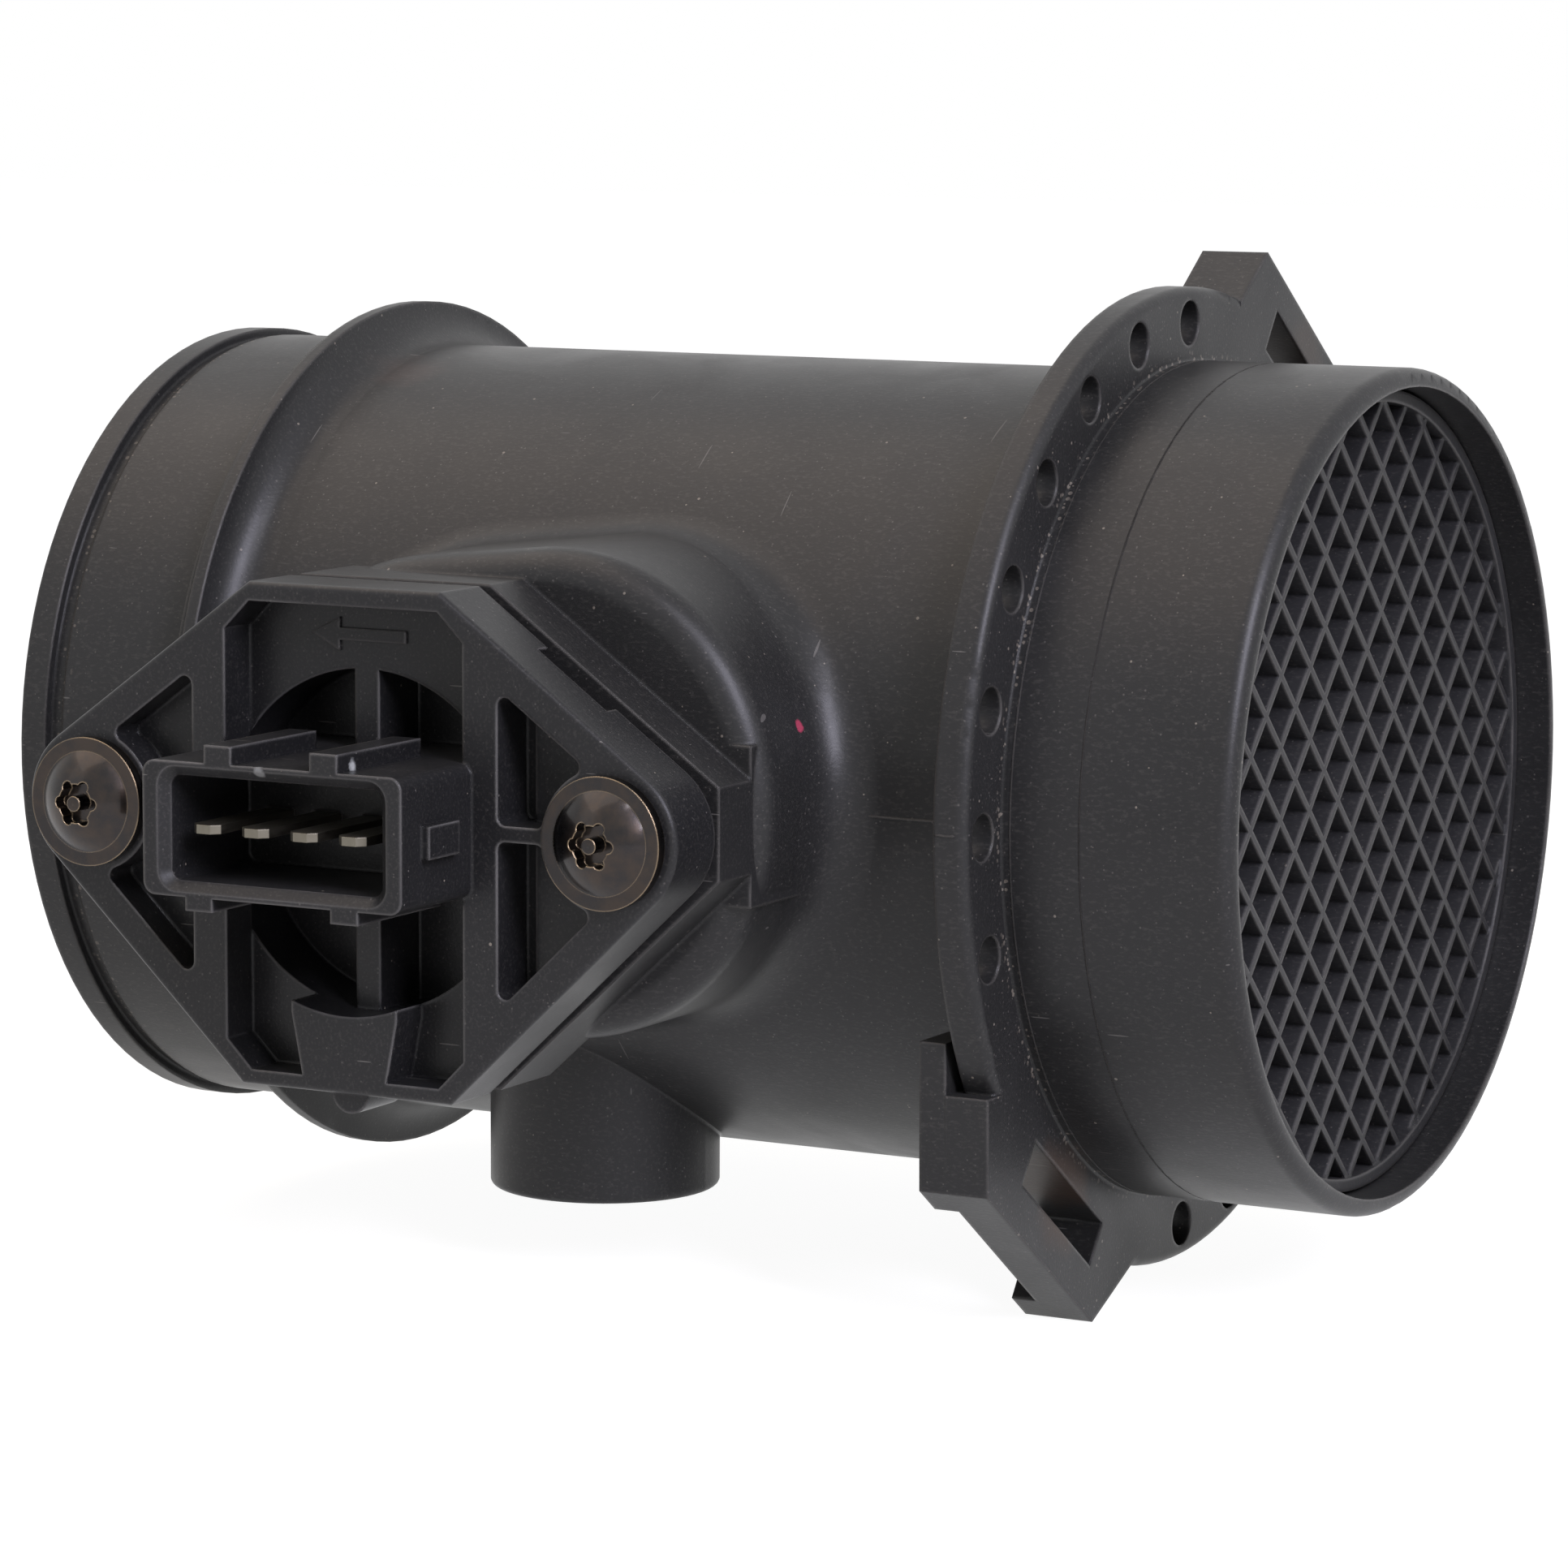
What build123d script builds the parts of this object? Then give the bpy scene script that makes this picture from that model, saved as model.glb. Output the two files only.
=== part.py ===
"""Mass airflow sensor: a flow tube with a plug-in hot film sensor, built as it comes apart.

The tube runs along X and air enters at its +X end, through the grille.  The origin lies on the
tube's axis, in the inlet side of the ring flange.  The sensor plugs in from -Y, its electrical
socket faces -Y too, and the round side port points down, along -Z.  Lengths are millimetres.
"""
import os
from math import acos, asin, atan2, cos, degrees, hypot, radians, sin

from build123d import *

# Tube: bore, walls, steps and lengths
bore_r = 34.5
body_wall = 3.5
inlet_length = 22.0
inlet_wall = 1.7
inlet_round = 1.4
outlet_length = 20.6
outlet_step = 0.4
lip_step = 0.6
lip_length = 3.0
lip_round = 0.5
lip_groove_width = 1.5
lip_groove_depth = 0.4
rim_chamfer = 0.6

# Hose bead near the outlet
bead_to_sensor = 32.5
bead_rise = 4.2
bead_width = 1.3
bead_shoulder_rise = 1.9
bead_shoulder_width = 1.7

# Ring flange with its row of coring holes
flange_rise = 6.8
flange_thickness = 3.2
flange_round = 1.0
core_hole_count = 24
core_hole_turn = 0.6
core_hole_r = 2.1
core_hole_inset = 3.3
core_hole_wall = 1.0

# Two clip ears on the flange, opposite each other.  Lengths run along the ear; drops are
# measured inward from its outer face.  The upper ear has a lower face and a steeper toe.
ear_angle = 234.7
ear_rise = 4.5
upper_ear_rise = 3.7
ear_face_from = -14.4
ear_face_to = 12.3
upper_ear_face_to = 13.9
ear_toe_along = 17.4
ear_toe_drop = 8.7
upper_toe_along = 16.3
upper_toe_drop = 7.1
ear_heel_along = -19.65
ear_heel_drop = 7.1
ear_heel_root_along = -15.6
ear_heel_root_drop = 10.0
back_heel_along = -22.35
back_heel_drop = 10.9
back_root_along = -14.2
back_root_drop = 16.7
ear_thickness = 6.8
ear_front_thickness = 4.2
bridge_thickness = 4.4
bridge_from = -10.6
bridge_to = 8.7
clip_slot_length = 17.4
clip_slot_width = 4.4
clip_slot_inset = 1.7

# Inlet grille, a square lattice in a thin ring, turned about the tube's axis
grille_step = 2.8
grille_fit = 0.3
grille_recess = 3.4
grille_depth = 7.0
grille_rib_setback = 0.4
grille_ring_width = 1.2
grille_pitch = 4.62
grille_rib = 0.66
grille_turn = 46.2

# Sensor axis and the tower that carries the sensor, longer towards the flange
sensor_to_flange = 49.0
tower_reach = 11.7
tower_wall = 3.0
tower_shift_x = 12.3
tower_shift_z = 1.3
tower_edge_round = 3.0
tower_root_fillet = 5.0
lug_height = 14.4
seat_thickness = 5.7
seat_side_flat = 8.3
seat_end_inset = 0.6

# Cover plate
plate_gap = 1.8
plate_thickness = 6.9
plate_end_wall = 1.05
plate_top_z = 20.7
plate_bottom_z = -24.5
plate_half_top = 9.9
plate_half_bottom = 10.9
plate_edge_round = 0.5
pry_notch_length = 8.5
pry_notch_depth = 2.0
pry_notch_height = 1.6
nub_r = 1.9

# Window in the cover plate with a round well behind it
window_half = 12.4
window_top_wall = 1.7
window_bottom_wall = 1.4
window_chamfer = 2.6
window_depth = 4.1
well_margin = 3.7
well_z = -2.2
well_depth = 6.5
centre_rib_width = 2.5
tab_width = 11.0
tab_foot_width = 8.8

# Weight-saving pockets around the screws
bar_width = 3.5
pocket_rim = 3.0
pocket_depth = 3.4
pocket_slot_width = 1.9
pocket_slot_depth = 5.0
screw_boss_wall = 0.55
pocket_cross_rib = 1.4
pocket_round = 0.8

# Electrical socket
socket_reach = 11.5
socket_side_wall = 2.4
socket_height = 11.9
socket_top_wall = 1.3
socket_corner = 1.2
cavity_side = 2.0
cavity_corner = 1.0
cavity_depth = 13.0
mouth_chamfer = 0.9
key_rib_width = 2.8
key_rib_height = 1.6
top_rib_spacing = 10.9
bottom_rib_spacing = 15.0
bottom_rib_height = 1.2
side_nub_length = 5.0
side_nub_height = 2.9
side_nub_rise = 0.8

# Blade terminals
terminal_count = 4
terminal_pitch = 5.0
terminal_width = 2.8
terminal_thickness = 0.8
terminal_setback = 0.8
terminal_tip = 0.7

# Screws and their inserts
collar_r = 5.85
collar_thickness = 1.1
dome_r = 4.6
head_height = 3.0
recess_r = 2.2
recess_core_r = 1.76
recess_lobe_r = 0.53
recess_depth = 1.7
tamper_pin_r = 0.7
shank_r = 2.4
shank_tip = 0.7
screw_length = 18.0
screw_hole_clearance = 0.25
screw_pad_r = 5.6
insert_r = 3.6
insert_length = 9.0
insert_flange_r = 4.3
insert_flange_thickness = 0.8
insert_wall = 3.3
insert_fit = 0.05
insert_hole_spare = 2.6

# Plug of the cover in the tower, with its O-ring
plug_r = 19.0
plug_clearance = 0.2
plug_length = 13.0
ring_section_r = 0.95
ring_back = 6.4
ring_groove_width = 2.6

# Probe: a flat blade that reaches into the air, with a lid over its tray and its air channel
blade_width_z = 11.0
blade_nose_r = 2.0
blade_wall = 2.0
blade_socket_depth = 3.0
blade_fit = 0.1
blade_slot_clearance = 0.5
tray_ledge = 1.0
tray_end_y = -11.0
tray_side_gap = 0.1
tray_root_rest = 0.2
tray_under_terminals = 1.1
lid_thickness = 1.4
lid_fit = 0.1
channel_width = 6.0
channel_depth = 6.6
channel_wall = 2.5
channel_divider = 1.0
channel_mouth_bridge = 0.9

# Parts in the probe
carrier_thickness = 1.0
carrier_fit = 0.3
board_thickness = 0.7
board_margin = 1.0
board_gap = 1.3
chip_size = 6.0
chip_height = 1.2
chip_offset_y = 8.0
capacitor_count = 4
capacitor_length = 2.0
capacitor_width = 1.25
capacitor_height = 1.1
capacitor_pitch = 3.6
capacitor_offset_y = 17.0
film_width = 3.4
film_thickness = 0.3
film_on_board = 2.5
film_overhang = 4.5
film_slot_clearance = 0.2
gel_thickness = 1.3
lead_width = 0.9
lead_thickness = 0.25
lead_foot = 1.4
lead_clear = 0.3

# Side port under the tube
port_offset_x = -0.3
port_y = -17.6
port_wall = 2.8
port_bore_r = 8.2
port_rise = 2.6
port_round = 0.6

# Radii of the tube, from the bore outward
body_r = bore_r + body_wall
grille_seat_r = bore_r + grille_step
grille_r = grille_seat_r - grille_fit
inlet_r = grille_seat_r + inlet_wall
outlet_r = body_r + outlet_step
lip_r = outlet_r + lip_step
lip_groove_r = outlet_r - lip_groove_depth
bead_r = body_r + bead_rise
bead_shoulder_r = outlet_r + bead_shoulder_rise
flange_r = inlet_r + flange_rise
core_hole_circle_r = flange_r - core_hole_inset
clip_slot_reach = flange_r - clip_slot_inset

# Stations along the tube, from the flange's inlet face
inlet_x = inlet_length
grille_front_x = inlet_x - grille_recess
grille_back_x = grille_front_x - grille_depth
sensor_x = -(flange_thickness + sensor_to_flange)
bead_x = sensor_x - bead_to_sensor
bead_front_x = bead_x + bead_width / 2
bead_back_x = bead_x - bead_width / 2
outlet_x = bead_x - outlet_length
lip_from_x = outlet_x + lip_length

# Depths in front of the tube's axis, towards the sensor's socket
tower_front_y = -(body_r + tower_reach)
seat_front_y = tower_front_y - seat_thickness
plate_back_y = seat_front_y - plate_gap
plate_front_y = plate_back_y - plate_thickness
socket_front_y = plate_front_y - socket_reach
window_floor_y = plate_front_y + window_depth
plug_end_y = plate_back_y + plug_length
ring_y = plate_back_y + ring_back
blade_root_y = plug_end_y - blade_socket_depth

# Tower, screws and cover
tower_hole_r = plug_r + plug_clearance
tower_r = tower_hole_r + tower_wall
ring_groove_r = tower_hole_r - 2 * ring_section_r
screw_x = tower_hole_r + insert_flange_r + insert_wall
insert_hole_depth = screw_length - plate_thickness - plate_gap + insert_hole_spare
plate_end_r = collar_r + plate_end_wall
plate_half_x = screw_x + plate_end_r
plate_height = plate_top_z - plate_bottom_z
plate_middle_z = (plate_top_z + plate_bottom_z) / 2
screw_boss_r = collar_r + screw_boss_wall
window_top_z = plate_top_z - window_top_wall
window_bottom_z = plate_bottom_z + window_bottom_wall
well_r = plug_r - well_margin
terminal_row = (terminal_count - 1) * terminal_pitch + terminal_width
cavity_width = terminal_row + 2 * cavity_side
cavity_height = socket_height - 2 * socket_top_wall
socket_width = cavity_width + 2 * socket_side_wall

# Probe and what it holds
tray_width = terminal_row + 2 * tray_side_gap
lid_width = tray_width + 2 * tray_ledge
blade_length_x = lid_width + 2 * blade_wall
last_leg_y = tray_end_y + channel_wall + 1.5 * channel_width + channel_divider
lid_to_y = last_leg_y + channel_width / 2 + tray_ledge
blade_tip_y = lid_to_y + blade_wall
blade_span = blade_tip_y - blade_root_y
lid_z = blade_width_z / 2 - lid_thickness
tray_from_y = blade_root_y + blade_socket_depth + tray_ledge + tray_root_rest
lid_from_y = tray_from_y - tray_ledge
tray_floor_z = -(terminal_thickness / 2 + tray_under_terminals)
channel_floor_z = lid_z - channel_depth
channel_mouth_top_z = lid_z - channel_mouth_bridge
first_leg_y = tray_end_y + channel_wall + channel_width / 2
turn_leg_x = -tray_width / 2 + channel_width / 2
carrier_top_z = tray_floor_z + carrier_thickness
board_top_z = carrier_top_z + board_thickness
terminal_tip_y = socket_front_y + terminal_setback
terminal_tail_y = tray_from_y + lead_foot
board_from_y = terminal_tail_y + board_gap
board_to_y = tray_end_y - carrier_fit
board_width = tray_width - 2 * board_margin
dome_height = head_height - collar_thickness
dome_ball_r = (dome_r**2 + dome_height**2) / (2 * dome_height)
dome_angle = asin(dome_r / dome_ball_r)

# Side port
port_x = sensor_x + port_offset_x
port_r = port_bore_r + port_wall
port_end_z = -(body_r + port_rise)


def across(x):
    """Plane across the tube at station x: its x runs along Y and its y along Z."""
    return Plane(origin=(x, 0, 0), x_dir=(0, 1, 0), z_dir=(1, 0, 0))


def facing(y):
    """Plane in front of the sensor at depth y: its x runs along X from the sensor's axis."""
    return Plane(origin=(sensor_x, y, 0), x_dir=(1, 0, 0), z_dir=(0, -1, 0))


def side(z):
    """Plane through the probe at height z: its x runs along X from the sensor's axis."""
    return Plane(origin=(sensor_x, 0, z), x_dir=(1, 0, 0), z_dir=(0, 0, 1))


def meets_tube(edge):
    """Whether an edge of the tower's side lies on the round outside of the tube."""
    middle = edge @ 0.5
    return abs(hypot(middle.Y, middle.Z) - body_r) < rim_chamfer and edge.geom_type != GeomType.LINE


def ear_point(angle, along, reach):
    """Point in the flange's plane, measured along the ear and outward from the tube's axis."""
    c, s = cos(radians(angle)), sin(radians(angle))
    return (reach * c - along * s, reach * s + along * c)


def tangent_angle(sign_x, sign_z):
    """Direction in which the plate's slanted edge leaves the round end about a screw."""
    corner_x = plate_half_top if sign_z > 0 else plate_half_bottom
    corner_z = plate_top_z if sign_z > 0 else plate_bottom_z
    dx = sign_x * corner_x - sign_x * screw_x
    return atan2(corner_z, dx) - sign_x * sign_z * acos(plate_end_r / hypot(dx, corner_z))


def end_point(sign_x, sign_z, radius=plate_end_r):
    """Point where the slanted edge touches the round end about a screw."""
    angle = tangent_angle(sign_x, sign_z)
    return (sign_x * screw_x + radius * cos(angle), radius * sin(angle))


def plate_outline():
    """Six-sided plate whose left and right corners are rounded about the screws."""
    top_right = (plate_half_top, plate_top_z)
    top_left = (-plate_half_top, plate_top_z)
    low_right = (plate_half_bottom, plate_bottom_z)
    low_left = (-plate_half_bottom, plate_bottom_z)
    Line(top_left, top_right)
    Line(top_right, end_point(1, 1))
    ThreePointArc(end_point(1, 1), (plate_half_x, 0), end_point(1, -1))
    Line(end_point(1, -1), low_right)
    Line(low_right, low_left)
    Line(low_left, end_point(-1, -1))
    ThreePointArc(end_point(-1, -1), (-plate_half_x, 0), end_point(-1, 1))
    Line(end_point(-1, 1), top_left)


def seat_outline():
    """The plate's outline with blunt ends, for the flat seat on the tower."""
    end_x = plate_half_x - seat_end_inset
    half = seat_side_flat / 2
    Polyline(
        (-plate_half_top, plate_top_z),
        (plate_half_top, plate_top_z),
        (end_x, half),
        (end_x, -half),
        (plate_half_bottom, plate_bottom_z),
        (-plate_half_bottom, plate_bottom_z),
        (-end_x, -half),
        (-end_x, half),
        close=True,
    )


def screw_places():
    """Centres of the two cover screws in a plane that faces the sensor."""
    return [(-screw_x, 0), (screw_x, 0)]


def terminal_x(index):
    """Place of a terminal along X, from the sensor's axis."""
    return (index - (terminal_count - 1) / 2) * terminal_pitch


def tube_outside():
    """Half section of the tube's outside with its bead, flange and spigots, closed on the axis."""
    body_from_x = bead_front_x + bead_rise
    Line((outlet_x, 0), (outlet_x, lip_r - lip_round))
    CenterArc((outlet_x + lip_round, lip_r - lip_round), lip_round, 180, -90)
    Polyline(
        (outlet_x + lip_round, lip_r),
        (lip_from_x, lip_r),
        (lip_from_x, lip_groove_r),
        (lip_from_x + lip_groove_width, lip_groove_r),
        (lip_from_x + lip_groove_width, outlet_r),
        (bead_back_x - bead_shoulder_width, outlet_r),
        (bead_back_x - bead_shoulder_width, bead_shoulder_r),
        (bead_back_x, bead_shoulder_r),
        (bead_back_x, bead_r),
        (bead_front_x, bead_r),
    )
    CenterArc((body_from_x, bead_r), bead_rise, 180, 90)
    Polyline(
        (body_from_x, body_r),
        (-flange_thickness, body_r),
        (-flange_thickness, flange_r),
        (-flange_round, flange_r),
    )
    CenterArc((-flange_round, flange_r - flange_round), flange_round, 90, -90)
    Polyline((0, flange_r - flange_round), (0, inlet_r), (inlet_x - inlet_round, inlet_r))
    CenterArc((inlet_x - inlet_round, inlet_r - inlet_round), inlet_round, 90, -90)
    Polyline((inlet_x, inlet_r - inlet_round), (inlet_x, 0), (outlet_x, 0))


def tube_inside():
    """Half section of the duct, wider at the inlet where the grille sits against a step."""
    Polyline(
        (outlet_x, 0),
        (outlet_x, bore_r + rim_chamfer),
        (outlet_x + rim_chamfer, bore_r),
        (grille_back_x, bore_r),
        (grille_back_x, grille_seat_r),
        (inlet_x, grille_seat_r),
        (inlet_x, 0),
        close=True,
    )


def core_hole_places():
    """Places of the holes around the flange, left out where they would run into an ear."""
    margin = core_hole_r + core_hole_wall
    places = []
    for index in range(core_hole_count):
        turn = radians(core_hole_turn + index * 360 / core_hole_count)
        off_ear = turn - radians(ear_angle)
        along = core_hole_circle_r * sin(off_ear) * (1 if cos(off_ear) > 0 else -1)
        beside_ear = abs(cos(off_ear)) > 0.5
        if not (beside_ear and ear_face_from - margin < along < ear_face_to + margin):
            places.append((core_hole_circle_r * cos(turn), core_hole_circle_r * sin(turn)))
    return places


def ear_outline(angle, rise, face_to, toe, heel, root):
    """An ear seen along the tube, from its outer face down into the wall of the duct."""
    reach = flange_r + rise
    Polyline(
        ear_point(angle, ear_face_from, reach),
        ear_point(angle, face_to, reach),
        ear_point(angle, toe[0], reach - toe[1]),
        ear_point(angle, face_to, bore_r),
        ear_point(angle, ear_face_from, bore_r),
        ear_point(angle, root[0], reach - root[1]),
        ear_point(angle, heel[0], reach - heel[1]),
        close=True,
    )


def port_outside():
    """Half section of the side port, from the tube's middle to its rounded rim."""
    rim_z = port_end_z + port_round
    Polyline((port_x + port_r, rim_z), (port_x + port_r, 0), (port_x, 0), (port_x, port_end_z))
    Line((port_x, port_end_z), (port_x + port_r - port_round, port_end_z))
    CenterArc((port_x + port_r - port_round, rim_z), port_round, -90, 90)


# Flow tube with its flange, ears, sensor tower and side port, moulded in one piece
with BuildPart() as tube_housing:
    with BuildSketch(Plane.XY):
        with BuildLine():
            tube_outside()
        make_face()
    revolve(axis=Axis.X)
    # Tower for the sensor, with a rounded front edge and a fillet at its root
    with BuildSketch(facing(0)):
        with Locations((tower_shift_x / 2, tower_shift_z / 2)):
            SlotCenterToCenter(
                hypot(tower_shift_x, tower_shift_z),
                2 * tower_r,
                rotation=degrees(atan2(tower_shift_z, tower_shift_x)),
            )
    extrude(amount=-tower_front_y)
    tower_edges = tube_housing.edges(Select.LAST)
    root_edges = tower_edges.filter_by(lambda edge: meets_tube(edge))
    fillet(root_edges, tower_root_fillet)
    fillet(tube_housing.edges().group_by(Axis.Y)[0], tower_edge_round)
    # Lugs behind the two screws, then the flat seat for the cover plate
    with BuildSketch(facing(tower_front_y)):
        Rectangle(2 * (plate_half_x - seat_end_inset), lug_height)
    extrude(amount=tower_front_y)
    with BuildSketch(facing(tower_front_y + tower_edge_round)):
        with BuildLine():
            seat_outline()
        make_face()
    extrude(amount=seat_thickness + tower_edge_round)
    # Clip ears behind the flange; their heels are longer at the back than at the front
    toe = (ear_toe_along, ear_toe_drop)
    upper_toe = (upper_toe_along, upper_toe_drop)
    heel = (ear_heel_along, ear_heel_drop)
    heel_root = (ear_heel_root_along, ear_heel_root_drop)
    back_heel = (back_heel_along, back_heel_drop)
    back_root = (back_root_along, back_root_drop)
    low_ear = (ear_angle, ear_rise, ear_face_to, toe)
    high_ear = (ear_angle - 180, upper_ear_rise, upper_ear_face_to, upper_toe)
    for ear in (low_ear, high_ear):
        with BuildSketch(across(0)):
            with BuildLine():
                ear_outline(*ear, heel, heel_root)
            make_face()
        extrude(amount=-ear_front_thickness)
        with BuildSketch(across(-ear_front_thickness)):
            with BuildLine():
                ear_outline(*ear, back_heel, back_root)
            make_face()
        extrude(amount=ear_front_thickness - ear_thickness)
    # The middle of each ear is a thinner bridge for the clip, with a slot behind it
    for angle in (ear_angle, ear_angle - 180):
        bridge_inner_reach = clip_slot_reach - clip_slot_width / 2
        with BuildSketch(across(-ear_thickness)):
            with BuildLine():
                Polyline(
                    ear_point(angle, bridge_from, bridge_inner_reach),
                    ear_point(angle, bridge_from, flange_r + 2 * ear_rise),
                    ear_point(angle, bridge_to, flange_r + 2 * ear_rise),
                    ear_point(angle, bridge_to, bridge_inner_reach),
                    close=True,
                )
            make_face()
        extrude(amount=ear_thickness - bridge_thickness, mode=Mode.SUBTRACT)
        with BuildSketch(across(0)):
            with Locations(ear_point(angle, 0, clip_slot_reach)):
                Rectangle(clip_slot_width, clip_slot_length, rotation=angle)
        extrude(amount=-ear_thickness, mode=Mode.SUBTRACT)
    # Coring holes through the flange
    with BuildSketch(across(0)):
        with Locations(*core_hole_places()):
            Circle(core_hole_r)
    extrude(amount=-flange_thickness, mode=Mode.SUBTRACT)
    # Side port
    with BuildSketch(Plane(origin=(0, port_y, 0), x_dir=(1, 0, 0), z_dir=(0, -1, 0))):
        with BuildLine():
            port_outside()
        make_face()
    revolve(axis=Axis((port_x, port_y, 0), (0, 0, 1)))
    # Duct, then the holes that open into it
    with BuildSketch(Plane.XY):
        with BuildLine():
            tube_inside()
        make_face()
    revolve(axis=Axis.X, mode=Mode.SUBTRACT)
    with BuildSketch(Plane.XY.offset(port_end_z)):
        with Locations((port_x, port_y)):
            Circle(port_bore_r)
    extrude(amount=-port_end_z, mode=Mode.SUBTRACT)
    with BuildSketch(facing(seat_front_y)):
        Circle(tower_hole_r)
    extrude(amount=-(plug_end_y - seat_front_y), mode=Mode.SUBTRACT)
    with BuildSketch(facing(plug_end_y)):
        Rectangle(
            blade_length_x + 2 * blade_slot_clearance,
            blade_width_z + 2 * blade_slot_clearance,
        )
    extrude(amount=plug_end_y, mode=Mode.SUBTRACT)
    # Holes for the threaded inserts
    with BuildSketch(facing(seat_front_y)):
        with Locations(*screw_places()):
            Circle(insert_r)
    extrude(amount=-insert_hole_depth, mode=Mode.SUBTRACT)
    with BuildSketch(facing(seat_front_y)):
        with Locations(*screw_places()):
            Circle(insert_flange_r)
    extrude(amount=-insert_flange_thickness, mode=Mode.SUBTRACT)
tube_housing.part.label = "tube_housing"


# Inlet grille: crossed ribs in a thin ring, held against the step in the duct
with BuildPart() as flow_grille:
    with BuildSketch(across(grille_back_x)):
        rib_count = int(grille_r / grille_pitch)
        for turn in (grille_turn - 90, grille_turn):
            for step in range(-rib_count, rib_count + 1):
                place = step * grille_pitch
                spot = (place * cos(radians(turn)), place * sin(radians(turn)))
                with Locations(spot):
                    Rectangle(grille_rib, 2 * grille_r, rotation=turn)
        Circle(grille_r, mode=Mode.INTERSECT)
    extrude(amount=grille_depth - grille_rib_setback)
    with BuildSketch(across(grille_back_x)):
        Circle(grille_r)
        Circle(grille_r - grille_ring_width, mode=Mode.SUBTRACT)
    extrude(amount=grille_depth)
flow_grille.part.label = "flow_grille"


def pocket_area():
    """The parts of the plate that are cored out beside the screws and the window bars."""
    with BuildSketch() as area:
        with BuildLine():
            plate_outline()
        make_face()
        offset(amount=-pocket_rim, kind=Kind.INTERSECTION, mode=Mode.REPLACE)
        with Locations((0, plate_middle_z)):
            Rectangle(2 * (window_half + bar_width), plate_height, mode=Mode.SUBTRACT)
        Rectangle(2 * plate_half_x, pocket_cross_rib, mode=Mode.SUBTRACT)
        with Locations(*screw_places()):
            Circle(screw_boss_r, mode=Mode.SUBTRACT)
        fillet(area.vertices(), pocket_round)
    return area.sketch


def window_area():
    """The window with its cut corners, less the tapered tab that stands up from its lower edge."""
    edge = window_half - window_chamfer
    tab_top_z = well_z - well_r
    with BuildSketch() as area:
        with BuildLine():
            Polyline(
                (-edge, window_top_z),
                (edge, window_top_z),
                (window_half, window_top_z - window_chamfer),
                (window_half, window_bottom_z + window_chamfer),
                (edge, window_bottom_z),
                (-edge, window_bottom_z),
                (-window_half, window_bottom_z + window_chamfer),
                (-window_half, window_top_z - window_chamfer),
                close=True,
            )
        make_face()
        with BuildLine():
            Polyline(
                (-tab_foot_width / 2, window_bottom_z),
                (tab_foot_width / 2, window_bottom_z),
                (tab_width / 2, tab_top_z),
                (tab_width / 2, well_z),
                (-tab_width / 2, well_z),
                (-tab_width / 2, tab_top_z),
                close=True,
            )
        make_face(mode=Mode.SUBTRACT)
        with Locations((0, well_z)):
            Circle(well_r)
        with Locations((0, plate_middle_z)):
            Rectangle(2 * window_half, plate_height, mode=Mode.INTERSECT)
    return area.sketch


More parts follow.
